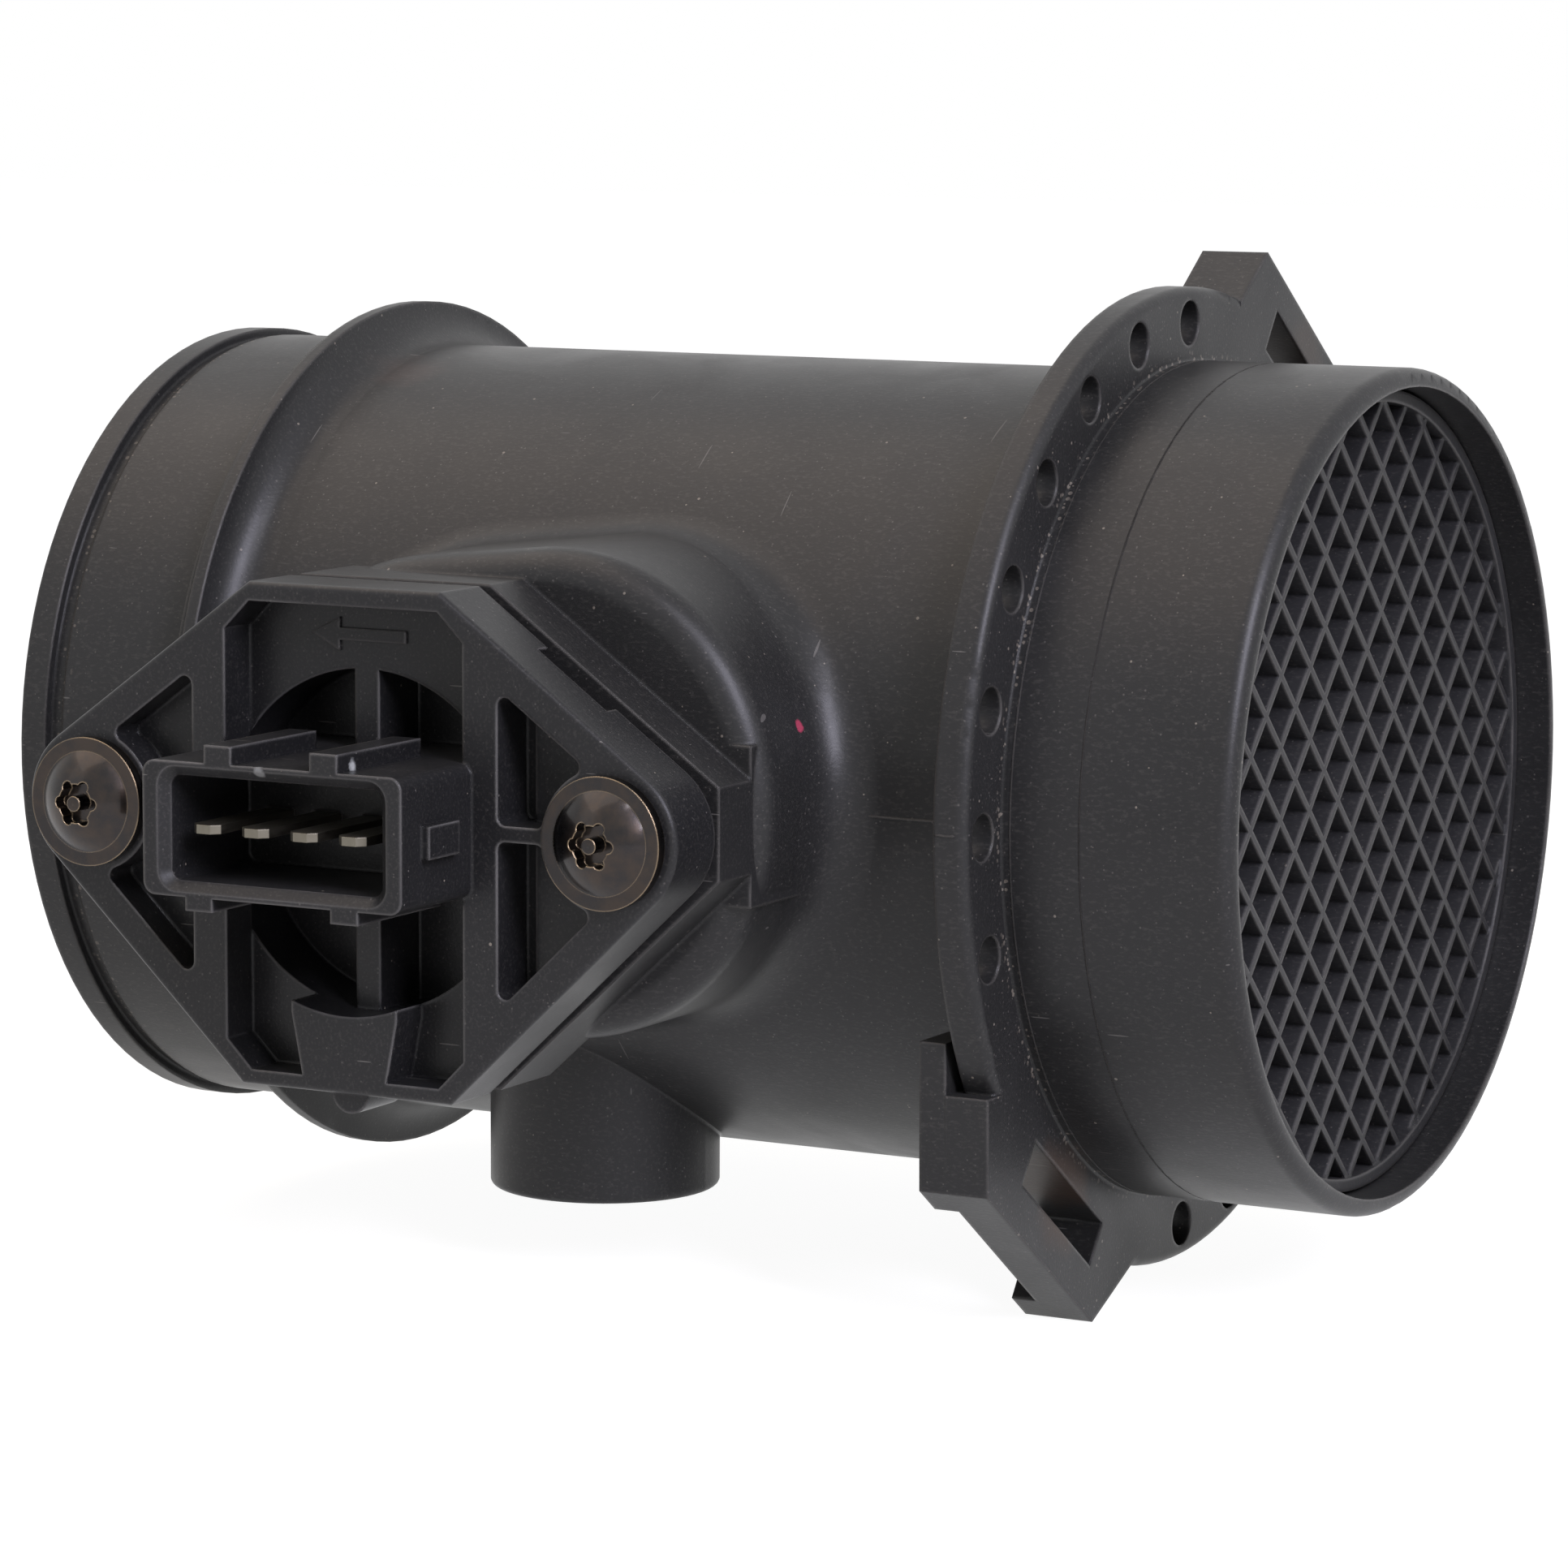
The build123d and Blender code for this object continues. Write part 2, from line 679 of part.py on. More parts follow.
# Cover: screw plate, plug and electrical socket in one moulding
with BuildPart() as sensor_cover:
    with BuildSketch(facing(plate_back_y)):
        with BuildLine():
            plate_outline()
        make_face()
    extrude(amount=plate_thickness)
    fillet(sensor_cover.edges().group_by(Axis.Y)[0], plate_edge_round)
    with BuildSketch(facing(plate_back_y)):
        with Locations((0, plate_bottom_z)):
            Circle(nub_r)
    extrude(amount=plate_thickness - 2 * plate_edge_round)
    # Pads around the screws hold the plate off its seat; the round plug stands between them
    with BuildSketch(facing(plate_back_y)):
        with Locations(*screw_places()):
            Circle(screw_pad_r)
    extrude(amount=-plate_gap)
    with BuildSketch(facing(plate_back_y)):
        Circle(plug_r)
    extrude(amount=-plug_length)
    with BuildSketch(facing(ring_y - ring_groove_width / 2)):
        Circle(plug_r)
        Circle(ring_groove_r, mode=Mode.SUBTRACT)
    extrude(amount=-ring_groove_width, mode=Mode.SUBTRACT)
    # Window and well
    with BuildSketch(facing(plate_front_y)):
        add(window_area())
    extrude(amount=-window_depth, mode=Mode.SUBTRACT)
    with BuildSketch(facing(window_floor_y)):
        with Locations((0, well_z)):
            Circle(well_r)
            Rectangle(centre_rib_width, 2 * well_r, mode=Mode.SUBTRACT)
        Rectangle(socket_width, socket_height, mode=Mode.SUBTRACT)
    extrude(amount=-well_depth, mode=Mode.SUBTRACT)
    # Pockets, deeper along the window bars
    with BuildSketch(facing(plate_front_y)):
        add(pocket_area())
    extrude(amount=-pocket_depth, mode=Mode.SUBTRACT)
    with BuildSketch(facing(plate_front_y)):
        add(pocket_area())
        slot_half = window_half + bar_width + pocket_slot_width
        with Locations((0, plate_middle_z)):
            Rectangle(2 * slot_half, plate_height, mode=Mode.INTERSECT)
    extrude(amount=-pocket_slot_depth, mode=Mode.SUBTRACT)
    # Notch under the plate's slanted edge, to pry it off
    with BuildSketch(facing(plate_back_y)):
        edge_x = (plate_half_top + end_point(1, 1)[0]) / 2
        edge_z = (plate_top_z + end_point(1, 1)[1]) / 2
        edge_turn = degrees(tangent_angle(1, 1)) - 90
        with Locations((edge_x, edge_z)):
            Rectangle(pry_notch_length, 2 * pry_notch_depth, rotation=edge_turn)
    extrude(amount=pry_notch_height, mode=Mode.SUBTRACT)
    # Socket for the wiring connector, with its keying ribs
    with BuildSketch(facing(window_floor_y)):
        RectangleRounded(socket_width, socket_height, socket_corner)
    extrude(amount=window_floor_y - socket_front_y)
    socket_length = plate_front_y - socket_front_y
    with BuildSketch(facing(socket_front_y)):
        with Locations((0, (socket_height + key_rib_height) / 2)):
            with GridLocations(top_rib_spacing, 1, 2, 1):
                Rectangle(key_rib_width, key_rib_height)
        with Locations((0, -(socket_height + bottom_rib_height) / 2)):
            with GridLocations(bottom_rib_spacing, 1, 2, 1):
                Rectangle(key_rib_width, bottom_rib_height)
    extrude(amount=-(socket_length + window_depth / 2))
    with Locations((sensor_x, socket_front_y + socket_length / 2, 0)):
        Box(socket_width + 2 * side_nub_rise, side_nub_length, side_nub_height)
    with BuildSketch(facing(socket_front_y)):
        RectangleRounded(cavity_width, cavity_height, cavity_corner)
    extrude(amount=-cavity_depth, mode=Mode.SUBTRACT)
    chamfer(sensor_cover.faces().sort_by(Axis.Y)[0].inner_wires()[0].edges(), mouth_chamfer)
    # Passages for the terminals, the screws and the root of the probe
    with BuildSketch(facing(socket_front_y + cavity_depth)):
        with GridLocations(terminal_pitch, 1, terminal_count, 1):
            Rectangle(terminal_width, terminal_thickness)
    extrude(amount=-(plug_end_y - socket_front_y - cavity_depth), mode=Mode.SUBTRACT)
    with BuildSketch(facing(plate_front_y)):
        with Locations(*screw_places()):
            Circle(shank_r + screw_hole_clearance)
    extrude(amount=-(plate_thickness + plate_gap), mode=Mode.SUBTRACT)
    with BuildSketch(facing(plug_end_y)):
        RectangleRounded(
            blade_length_x + 2 * blade_fit,
            blade_width_z + 2 * blade_fit,
            blade_nose_r + blade_fit,
        )
    extrude(amount=blade_socket_depth, mode=Mode.SUBTRACT)
sensor_cover.part.label = "sensor_cover"


# O-ring around the plug
with BuildPart() as cover_o_ring:
    with BuildSketch(Plane(origin=(sensor_x, ring_y, 0), x_dir=(1, 0, 0), z_dir=(0, 0, 1))):
        with Locations((ring_groove_r + ring_section_r, 0)):
            Circle(ring_section_r)
    revolve(axis=Axis((sensor_x, 0, 0), (0, 1, 0)))
cover_o_ring.part.label = "cover_o_ring"


# Blade terminals, moulded into the cover, with bevelled tips
terminals = []
for index in range(terminal_count):
    with BuildPart() as terminal:
        half = terminal_width / 2
        place = sensor_x + terminal_x(index)
        with BuildSketch(Plane.XY.offset(-terminal_thickness / 2)):
            with BuildLine():
                Polyline(
                    (place - half, terminal_tail_y),
                    (place - half, terminal_tip_y + terminal_tip),
                    (place - half + terminal_tip, terminal_tip_y),
                    (place + half - terminal_tip, terminal_tip_y),
                    (place + half, terminal_tip_y + terminal_tip),
                    (place + half, terminal_tail_y),
                    close=True,
                )
            make_face()
        extrude(amount=terminal_thickness)
    terminal.part.label = f"terminal_{index + 1}"
    terminals.append(terminal.part)


def star_recess():
    """Six-lobed driver recess with a pin left standing in its middle."""
    Circle(recess_core_r)
    with PolarLocations(recess_r - recess_lobe_r, 6):
        Circle(recess_lobe_r)
    Circle(tamper_pin_r, mode=Mode.SUBTRACT)


# Cover screws and the threaded inserts that take them
fasteners = []
for name, place in (("left", -screw_x), ("right", screw_x)):
    axis_x = sensor_x + place
    with BuildPart() as screw:
        tip_y = plate_front_y + screw_length
        collar_y = plate_front_y - collar_thickness
        head_y = plate_front_y - head_height
        dome_middle_y = head_y + dome_ball_r * (1 - cos(dome_angle / 2))
        with BuildSketch(Plane.XY):
            with BuildLine():
                Polyline(
                    (axis_x, head_y),
                    (axis_x, tip_y),
                    (axis_x + shank_r - shank_tip, tip_y),
                    (axis_x + shank_r, tip_y - shank_tip),
                    (axis_x + shank_r, plate_front_y),
                    (axis_x + collar_r, plate_front_y),
                    (axis_x + collar_r, collar_y),
                    (axis_x + dome_r, collar_y),
                )
                ThreePointArc(
                    (axis_x + dome_r, collar_y),
                    (axis_x + dome_ball_r * sin(dome_angle / 2), dome_middle_y),
                    (axis_x, head_y),
                )
            make_face()
        revolve(axis=Axis((axis_x, 0, 0), (0, 1, 0)))
        with BuildSketch(facing(head_y)):
            with Locations((place, 0)):
                star_recess()
        extrude(amount=-recess_depth, mode=Mode.SUBTRACT)
    screw.part.label = f"cover_screw_{name}"
    with BuildPart() as insert:
        with BuildSketch(facing(seat_front_y)):
            with Locations((place, 0)):
                Circle(insert_r)
        extrude(amount=-insert_length)
        with BuildSketch(facing(seat_front_y)):
            with Locations((place, 0)):
                Circle(insert_flange_r)
        extrude(amount=-insert_flange_thickness)
        with BuildSketch(facing(seat_front_y)):
            with Locations((place, 0)):
                Circle(shank_r + insert_fit)
        extrude(amount=-insert_length, mode=Mode.SUBTRACT)
    insert.part.label = f"threaded_insert_{name}"
    fasteners += [screw.part, insert.part]


# Probe blade: tray for the electronics near its root, air channel near its tip
with BuildPart() as probe_blade:
    with BuildSketch(facing(blade_root_y)):
        RectangleRounded(blade_length_x, blade_width_z, blade_nose_r)
    extrude(amount=-blade_span)
    with BuildSketch(side(lid_z)):
        with Locations((0, (lid_from_y + lid_to_y) / 2)):
            Rectangle(lid_width, lid_to_y - lid_from_y)
    extrude(amount=lid_thickness, mode=Mode.SUBTRACT)
    with BuildSketch(side(tray_floor_z)):
        with Locations((0, (tray_from_y + tray_end_y) / 2)):
            Rectangle(tray_width, tray_end_y - tray_from_y)
    extrude(amount=lid_z - tray_floor_z, mode=Mode.SUBTRACT)
    # The air turns once on its way from the leading edge to the trailing edge
    with BuildSketch(side(channel_floor_z)):
        with Locations((0, first_leg_y)):
            Rectangle(tray_width, channel_width)
        with Locations((turn_leg_x, (first_leg_y + last_leg_y) / 2)):
            Rectangle(channel_width, last_leg_y - first_leg_y + channel_width)
    extrude(amount=lid_z - channel_floor_z, mode=Mode.SUBTRACT)
    with BuildSketch(side(channel_floor_z)):
        with Locations((blade_length_x / 4, first_leg_y)):
            Rectangle(blade_length_x / 2, channel_width)
        with Locations((turn_leg_x - blade_length_x / 4, last_leg_y)):
            Rectangle(blade_length_x / 2, channel_width)
    extrude(amount=channel_mouth_top_z - channel_floor_z, mode=Mode.SUBTRACT)
    # Slot for the sensing film, and the passages of the terminals
    with BuildSketch(side(board_top_z)):
        with Locations((0, tray_end_y + channel_wall / 2)):
            Rectangle(film_width + 2 * film_slot_clearance, channel_wall + 2 * tray_ledge)
    extrude(amount=lid_z - board_top_z, mode=Mode.SUBTRACT)
    with BuildSketch(facing(blade_root_y)):
        with GridLocations(terminal_pitch, 1, terminal_count, 1):
            Rectangle(terminal_width, terminal_thickness)
    extrude(amount=blade_root_y - tray_from_y, mode=Mode.SUBTRACT)
probe_blade.part.label = "probe_blade"


# Lid over the tray and the air channel
with BuildPart() as probe_lid:
    with BuildSketch(side(lid_z)):
        with Locations((0, (lid_from_y + lid_to_y) / 2)):
            Rectangle(lid_width - 2 * lid_fit, lid_to_y - lid_from_y - 2 * lid_fit)
    extrude(amount=lid_thickness)
probe_lid.part.label = "probe_lid"


# Metal carrier on the floor of the tray, and the circuit board glued on it
with BuildPart() as carrier_plate:
    with BuildSketch(side(tray_floor_z)):
        with Locations((0, (board_from_y + board_to_y) / 2)):
            Rectangle(tray_width - 2 * carrier_fit, board_to_y - board_from_y)
    extrude(amount=carrier_thickness)
carrier_plate.part.label = "carrier_plate"

with BuildPart() as circuit_board:
    with BuildSketch(side(carrier_top_z)):
        with Locations((0, (board_from_y + board_to_y) / 2)):
            Rectangle(board_width, board_to_y - board_from_y)
    extrude(amount=board_thickness)
circuit_board.part.label = "circuit_board"

with BuildPart() as control_chip:
    with BuildSketch(side(board_top_z)):
        with Locations((0, board_from_y + chip_offset_y)):
            Rectangle(chip_size, chip_size)
    extrude(amount=chip_height)
control_chip.part.label = "control_chip"

with BuildPart() as board_capacitors:
    with BuildSketch(side(board_top_z)):
        with Locations((0, board_from_y + capacitor_offset_y)):
            with GridLocations(capacitor_pitch, 1, capacitor_count, 1):
                Rectangle(capacitor_width, capacitor_length)
    extrude(amount=capacitor_height)
board_capacitors.part.label = "board_capacitors"


# Sensing film: a thin glass strip that starts on the board and ends in the moving air
film_from_y = board_to_y - film_on_board
film_to_y = tray_end_y + channel_wall + film_overhang
with BuildPart() as sensing_film:
    with BuildSketch(side(board_top_z)):
        with Locations((0, (film_from_y + film_to_y) / 2)):
            Rectangle(film_width, film_to_y - film_from_y)
    extrude(amount=film_thickness)
sensing_film.part.label = "sensing_film"


# Flat leads from the terminals down to the board
with BuildPart() as board_leads:
    terminal_top_z = terminal_thickness / 2
    bend_from_y = terminal_tail_y + lead_clear
    bend_to_y = board_from_y + lead_clear
    for index in range(terminal_count):
        lead_x = sensor_x + terminal_x(index) - lead_width / 2
        with BuildSketch(Plane(origin=(lead_x, 0, 0), x_dir=(0, 1, 0), z_dir=(1, 0, 0))):
            with BuildLine():
                Polyline(
                    (terminal_tail_y - lead_foot, terminal_top_z),
                    (bend_from_y, terminal_top_z),
                    (bend_to_y, board_top_z),
                    (bend_to_y + lead_foot, board_top_z),
                    (bend_to_y + lead_foot, board_top_z + lead_thickness),
                    (bend_to_y, board_top_z + lead_thickness),
                    (bend_from_y, terminal_top_z + lead_thickness),
                    (terminal_tail_y - lead_foot, terminal_top_z + lead_thickness),
                    close=True,
                )
            make_face()
        extrude(amount=lead_width)
board_leads.part.label = "board_leads"


# Silicone gel that covers the board and what stands on it
with BuildPart() as sealing_gel:
    with BuildSketch(side(board_top_z)):
        with Locations((0, (board_from_y + board_to_y) / 2)):
            Rectangle(board_width, board_to_y - board_from_y)
    extrude(amount=gel_thickness)
    for piece in (control_chip, board_capacitors, board_leads, sensing_film):
        add(piece.part, mode=Mode.SUBTRACT)
sealing_gel.part.label = "sealing_gel"


# Each piece goes to a file with its own name
pieces = [
    tube_housing.part,
    flow_grille.part,
    sensor_cover.part,
    cover_o_ring.part,
    probe_blade.part,
    probe_lid.part,
    carrier_plate.part,
    circuit_board.part,
    control_chip.part,
    board_capacitors.part,
    sensing_film.part,
    board_leads.part,
    sealing_gel.part,
]
os.makedirs("parts", exist_ok=True)
for piece in pieces + terminals + fasteners:
    export_step(piece, f"parts/{piece.label}.step")
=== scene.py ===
# %% [markdown]
# # A plug-in air flow sensor, dressed for a studio picture
#
# The rigid shapes come from the CAD frame and stay as they are.  What is missing there is what a
# moulder's tool, a driver bit and some years under a bonnet leave on the real thing: parting
# lines, a flow arrow, grain, dust and worn edges.  Each cell adds one of these and says how.

import bpy
import numpy as np
from mathutils import Matrix, Vector


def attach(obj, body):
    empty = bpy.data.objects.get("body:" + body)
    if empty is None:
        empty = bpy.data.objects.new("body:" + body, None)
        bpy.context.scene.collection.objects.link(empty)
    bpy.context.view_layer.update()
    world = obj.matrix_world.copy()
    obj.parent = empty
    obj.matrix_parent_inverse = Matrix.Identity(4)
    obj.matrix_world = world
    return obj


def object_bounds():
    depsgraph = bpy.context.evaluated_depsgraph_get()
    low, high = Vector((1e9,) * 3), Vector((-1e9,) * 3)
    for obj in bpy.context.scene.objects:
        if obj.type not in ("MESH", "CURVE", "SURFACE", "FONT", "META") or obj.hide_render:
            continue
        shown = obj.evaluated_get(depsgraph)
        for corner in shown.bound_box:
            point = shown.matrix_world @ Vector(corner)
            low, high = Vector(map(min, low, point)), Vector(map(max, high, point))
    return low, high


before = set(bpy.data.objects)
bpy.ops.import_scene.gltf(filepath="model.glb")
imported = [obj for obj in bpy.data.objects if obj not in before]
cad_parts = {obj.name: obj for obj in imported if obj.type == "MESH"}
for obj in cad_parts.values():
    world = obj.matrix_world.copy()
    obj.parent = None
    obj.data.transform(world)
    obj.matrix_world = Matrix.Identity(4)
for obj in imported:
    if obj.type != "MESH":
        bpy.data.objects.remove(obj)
cad_low, cad_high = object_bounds()
print("CAD nodes:", len(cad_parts))
print("CAD size in mm:", [round(1000 * side, 1) for side in cad_high - cad_low])

# %% [markdown]
# ## Camera
#
# The picture was taken from the inlet side, slightly above the tube, with a long lens.  A camera
# could be aimed at the middle with a Track To constraint, but a long lens shows even a quarter of
# a degree of roll in a tube's straight edges.  So its three directions are written as they are.

# %% Camera
PICTURE_SIDE_PIXELS, FOCAL_PIXELS = 1932, 7089
SENSOR_MM = 36
CLIP_NEAR_M, CLIP_FAR_M = 0.01, 20
# Where the camera stands, in metres, and which way its right side and its back point
eye = Vector((0.22095, -0.48700, 0.07004))
look_right = Vector((0.8791, 0.4766, 0.0045))
look_back = Vector((0.4720, -0.8718, 0.1315))
look_up = look_back.cross(look_right)

lens = bpy.data.cameras.new("studio_camera")
lens.sensor_width = SENSOR_MM
lens.lens = SENSOR_MM * FOCAL_PIXELS / PICTURE_SIDE_PIXELS
lens.clip_start, lens.clip_end = CLIP_NEAR_M, CLIP_FAR_M
camera = bpy.data.objects.new("studio_camera", lens)
axes = [axis.normalized() for axis in (look_right, look_up, look_back)]
camera.matrix_world = Matrix.Translation(eye) @ Matrix(axes).transposed().to_4x4()
bpy.context.scene.collection.objects.link(camera)
bpy.context.scene.camera = camera
print("lens", round(lens.lens, 1), "mm")

# %% [markdown]
# ## Colours and nodes
#
# A hex colour is written for the screen, so one function turns it to the linear values that a
# shader works with.  A node could be added and wired in five lines each time.  One function does
# it in a single call, so that a material reads as a list of what it is made of.

# %% Colours and nodes
MM = 0.001


def linear(hex_colour):
    """Linear colour from an sRGB hex: below 0.04045 divide by 12.92, above it a power of 2.4."""
    srgb = np.array([int(hex_colour[i : i + 2], 16) / 255 for i in (1, 3, 5)])
    low, high = srgb / 12.92, ((srgb + 0.055) / 1.055) ** 2.4
    return (*np.where(srgb <= 0.04045, low, high).tolist(), 1.0)


def emptied(owner):
    """The same material or world, with its nodes switched on and cleared away."""
    owner.use_nodes = True
    owner.node_tree.nodes.clear()
    return owner


def add_node(owner, kind, inputs=None, **settings):
    """Adds a node.  An input is a socket to link from, or a value to set."""
    node = owner.node_tree.nodes.new(kind)
    for name, value in settings.items():
        setattr(node, name, value)
    for name, value in (inputs or {}).items():
        if isinstance(value, bpy.types.NodeSocket):
            owner.node_tree.links.new(value, node.inputs[name])
        else:
            node.inputs[name].default_value = value
    return node


print("the black of the housing in linear light:", round(linear("#212121")[0], 4))

# %% [markdown]
# ## Moulded nylon: dots for dust, scratches and fibre ends
#
# Nearly everything that shows is nylon with a third of glass fibre in it, injection moulded and
# black.  Such a surface isn't glossy: the fibres leave a fine grain that spreads the reflection,
# and dust and hair-thin scratches sit on it.
#
# All of these come from the same idea.  A Voronoi texture gives every point its distance to the
# middle of its cell, so the points nearer than a small radius are dots.  Where the cells are long
# along one axis, the dots come out as short straight scratches.  A noise with a threshold could
# give specks too, but their size and number couldn't be set apart.

# %% Dots
# Cells to the millimetre along each axis, the share of cells left empty, and the widest radius
# as a share of a cell.  Dust: cells of 1 mm.  Fibre ends: 0.4 mm.  Dust in a corner: 0.45 mm.
# Sleeve scratches: 0.7 by 18 mm round the tube.
DUST = {"per_mm": (1.0, 1.0, 1.0), "empty": 0.93, "radius": 0.15}
FIBRE_ENDS = {"per_mm": (2.5, 2.5, 2.5), "empty": 0.72, "radius": 0.26}
CORNER_GRAINS = {"per_mm": (2.2, 2.2, 2.2), "empty": 0.50, "radius": 0.5}
SLEEVE_SCRATCHES = {"per_mm": (1.4, 0.055, 0.3), "empty": 0.95, "radius": 0.16}
# Hair-thin scratches lie in cells of 9 by 0.6 mm, turned two ways
SCRATCHES = {"per_mm": (0.11, 1.6, 1.6), "radius": 0.15}
SCRATCH_TURNS = ((0.3, 0.5, 1.1), (0.9, 1.3, 0.2))


def dots(material, place, per_mm, empty, radius, turn=(0, 0, 0)):
    """1 near the middle of a cell and 0 elsewhere.

    Each cell has a random number.  Up to empty it has no dot, and from there to 1 the radius of
    its dot grows from 0 to the given one.
    """
    squeezed = add_node(material, "ShaderNodeMapping", {
        "Vector": place, "Rotation": turn, "Scale": [count / MM for count in per_mm]})
    cells = add_node(material, "ShaderNodeTexVoronoi", {
        "Vector": squeezed.outputs["Vector"], "Scale": 1.0})
    chance = add_node(material, "ShaderNodeSeparateColor", {"Color": cells.outputs["Color"]})
    reach = add_node(material, "ShaderNodeMapRange", {
        "Value": chance.outputs["Red"], "From Min": empty, "From Max": 1.0, "To Max": radius})
    return add_node(material, "ShaderNodeMath", {
        0: cells.outputs["Distance"], 1: reach.outputs["Result"]}, operation="LESS_THAN").outputs[0]


for title, kind in (("dust", DUST), ("fibre ends", FIBRE_ENDS), ("dust in corners", CORNER_GRAINS)):
    print(title, "up to", round(2 * kind["radius"] / kind["per_mm"][0], 2), "mm wide")

# %% [markdown]
# ## Spots
#
# A dab of paint, a stain of rust on an ear: each is a soft blot at one place on the part.  Paint
# strokes on an image could draw it, but a distance from that place needs no image, and a noise
# added to the distance makes its edge ragged.

# %% Spots
RAGS_PER_RADIUS = 1.4
FULL_WITHIN = 0.75


def spot(material, place, centre_mm, radius_mm, ragged):
    """Distance + ragged * radius * noise, brought from radius ... 0.75 * radius to 0 ... 1."""
    radius = radius_mm * MM
    away = add_node(material, "ShaderNodeVectorMath", {
        0: place, 1: Vector(centre_mm) * MM}, operation="DISTANCE")
    wobble = add_node(material, "ShaderNodeTexNoise", {
        "Vector": place, "Scale": RAGS_PER_RADIUS / radius, "Detail": 4.0})
    edge = add_node(material, "ShaderNodeMath", {
        0: wobble.outputs["Fac"], 1: ragged * radius, 2: away.outputs["Value"],
    }, operation="MULTIPLY_ADD")
    return add_node(material, "ShaderNodeMapRange", {
        "Value": edge.outputs[0], "From Min": radius, "From Max": FULL_WITHIN * radius,
    }).outputs["Result"]


print("a spot is whole within", FULL_WITHIN, "of its radius")

# %% [markdown]
# ## Dust in the ring-shaped corners
#
# Dust stays where a cloth doesn't reach: at the foot of the flange, the bead and the lip.  These
# corners are rings round the tube, so the pattern works in the tube's own terms, along it, round
# it and out from it.  A ring is then one point in a section, and the dust lies close to it.

# %% Ring-shaped corners
CORNER_FREE_MM, CORNER_FULL_MM = 1.1, 0.2


def round_the_tube(material, place):
    """The same place in a tube's own terms: x, r * angle and r, with r = sqrt(y^2 + z^2)."""
    part = add_node(material, "ShaderNodeSeparateXYZ", {"Vector": place}).outputs
    flat = add_node(material, "ShaderNodeCombineXYZ", {"Y": part["Y"], "Z": part["Z"]})
    radius = add_node(material, "ShaderNodeVectorMath", {
        0: flat.outputs["Vector"]}, operation="LENGTH").outputs["Value"]
    angle = add_node(material, "ShaderNodeMath", {0: part["Z"], 1: part["Y"]}, operation="ARCTAN2")
    arc = add_node(material, "ShaderNodeMath", {
        0: angle.outputs[0], 1: radius}, operation="MULTIPLY")
    return add_node(material, "ShaderNodeCombineXYZ", {
        "X": part["X"], "Y": arc.outputs[0], "Z": radius}).outputs["Vector"]


def corner_dust(material, place, polar, x_mm, radius_mm):
    """Grains times nearness, which falls from 1 at 0.2 mm from the ring to 0 at 1.1 mm."""
    ring = Vector((x_mm, 0, radius_mm)) * MM
    along = add_node(material, "ShaderNodeVectorMath", {0: polar, 1: ring}, operation="SUBTRACT")
    section = add_node(material, "ShaderNodeVectorMath", {
        0: along.outputs["Vector"], 1: (1, 0, 1)}, operation="MULTIPLY")
    away = add_node(material, "ShaderNodeVectorMath", {
        0: section.outputs["Vector"]}, operation="LENGTH")
    near = add_node(material, "ShaderNodeMapRange", {
        "Value": away.outputs["Value"],
        "From Min": CORNER_FREE_MM * MM, "From Max": CORNER_FULL_MM * MM})
    grains = dots(material, place, **CORNER_GRAINS)
    return add_node(material, "ShaderNodeMath", {
        0: near.outputs["Result"], 1: grains}, operation="MULTIPLY").outputs[0]


print("dust reaches", CORNER_FREE_MM, "mm out of a corner")

# %% [markdown]
# ## Worn edges and painted edge highlights
#
# No moulded or plated edge is sharp.  Rounding every edge in the mesh would cost many faces, so
# the Bevel node bends the shading there instead.  Where it bends most, the edge is painted paler:
# partly rubbed wear, and partly a painted highlight that stands for the light along the edge.  It
# bends in an inner corner too, which nothing rubs: there, the Ambient Occlusion node sees that
# some of the sky over the point is closed off.

# %% Worn edges and painted edge highlights
SHARPEST = 0.80
SKY_MM, CLOSED_SKY, OPEN_SKY = 1.2, 0.78, 0.95


def bent_edge(material, radius_mm, flat, strength=1.0):
    """The rounded normal, and how much it bends.

    The dot product of the rounded and the true normal is brought from flat ... 0.80 to
    0 ... strength.
    """
    bevel = add_node(material, "ShaderNodeBevel", {"Radius": radius_mm * MM}, samples=6)
    geometry = add_node(material, "ShaderNodeNewGeometry")
    same = add_node(material, "ShaderNodeVectorMath", {
        0: bevel.outputs["Normal"], 1: geometry.outputs["Normal"]}, operation="DOT_PRODUCT")
    bend = add_node(material, "ShaderNodeMapRange", {
        "Value": same.outputs["Value"],
        "From Min": flat, "From Max": SHARPEST, "To Max": strength})
    return bevel.outputs["Normal"], bend.outputs["Result"]


def open_sky(material):
    """0 in an inner corner and 1 on a free edge, from the share of sky seen within 1.2 mm."""
    sky = add_node(material, "ShaderNodeAmbientOcclusion", {
        "Distance": SKY_MM * MM}, samples=4, only_local=True)
    return add_node(material, "ShaderNodeMapRange", {
        "Value": sky.outputs["AO"], "From Min": CLOSED_SKY, "From Max": OPEN_SKY,
    }).outputs["Result"]


print("a corner counts as closed within", SKY_MM, "mm")

# %% [markdown]
# ## The nylon itself
#
# Grain, flow marks, wear and dust lie over each other on the real thing, so the colour is built
# up the same way: a base, and one thin layer after another.  The grain also drives the bump, and
# the flow marks the gloss, so that a mark shows in the light as well as in the colour.

# %% Layers
def layered(material, base, layers):
    """Mixes colours over a base one after another: each layer is (where, strength, hex)."""
    colour = base
    for where, strength, hex_colour in layers:
        share = add_node(material, "ShaderNodeMath", {0: where, 1: strength}, operation="MULTIPLY")
        colour = add_node(material, "ShaderNodeMix", {
            "Factor": share.outputs[0], "A": colour, "B": linear(hex_colour),
        }, data_type="RGBA").outputs["Result"]
    return colour


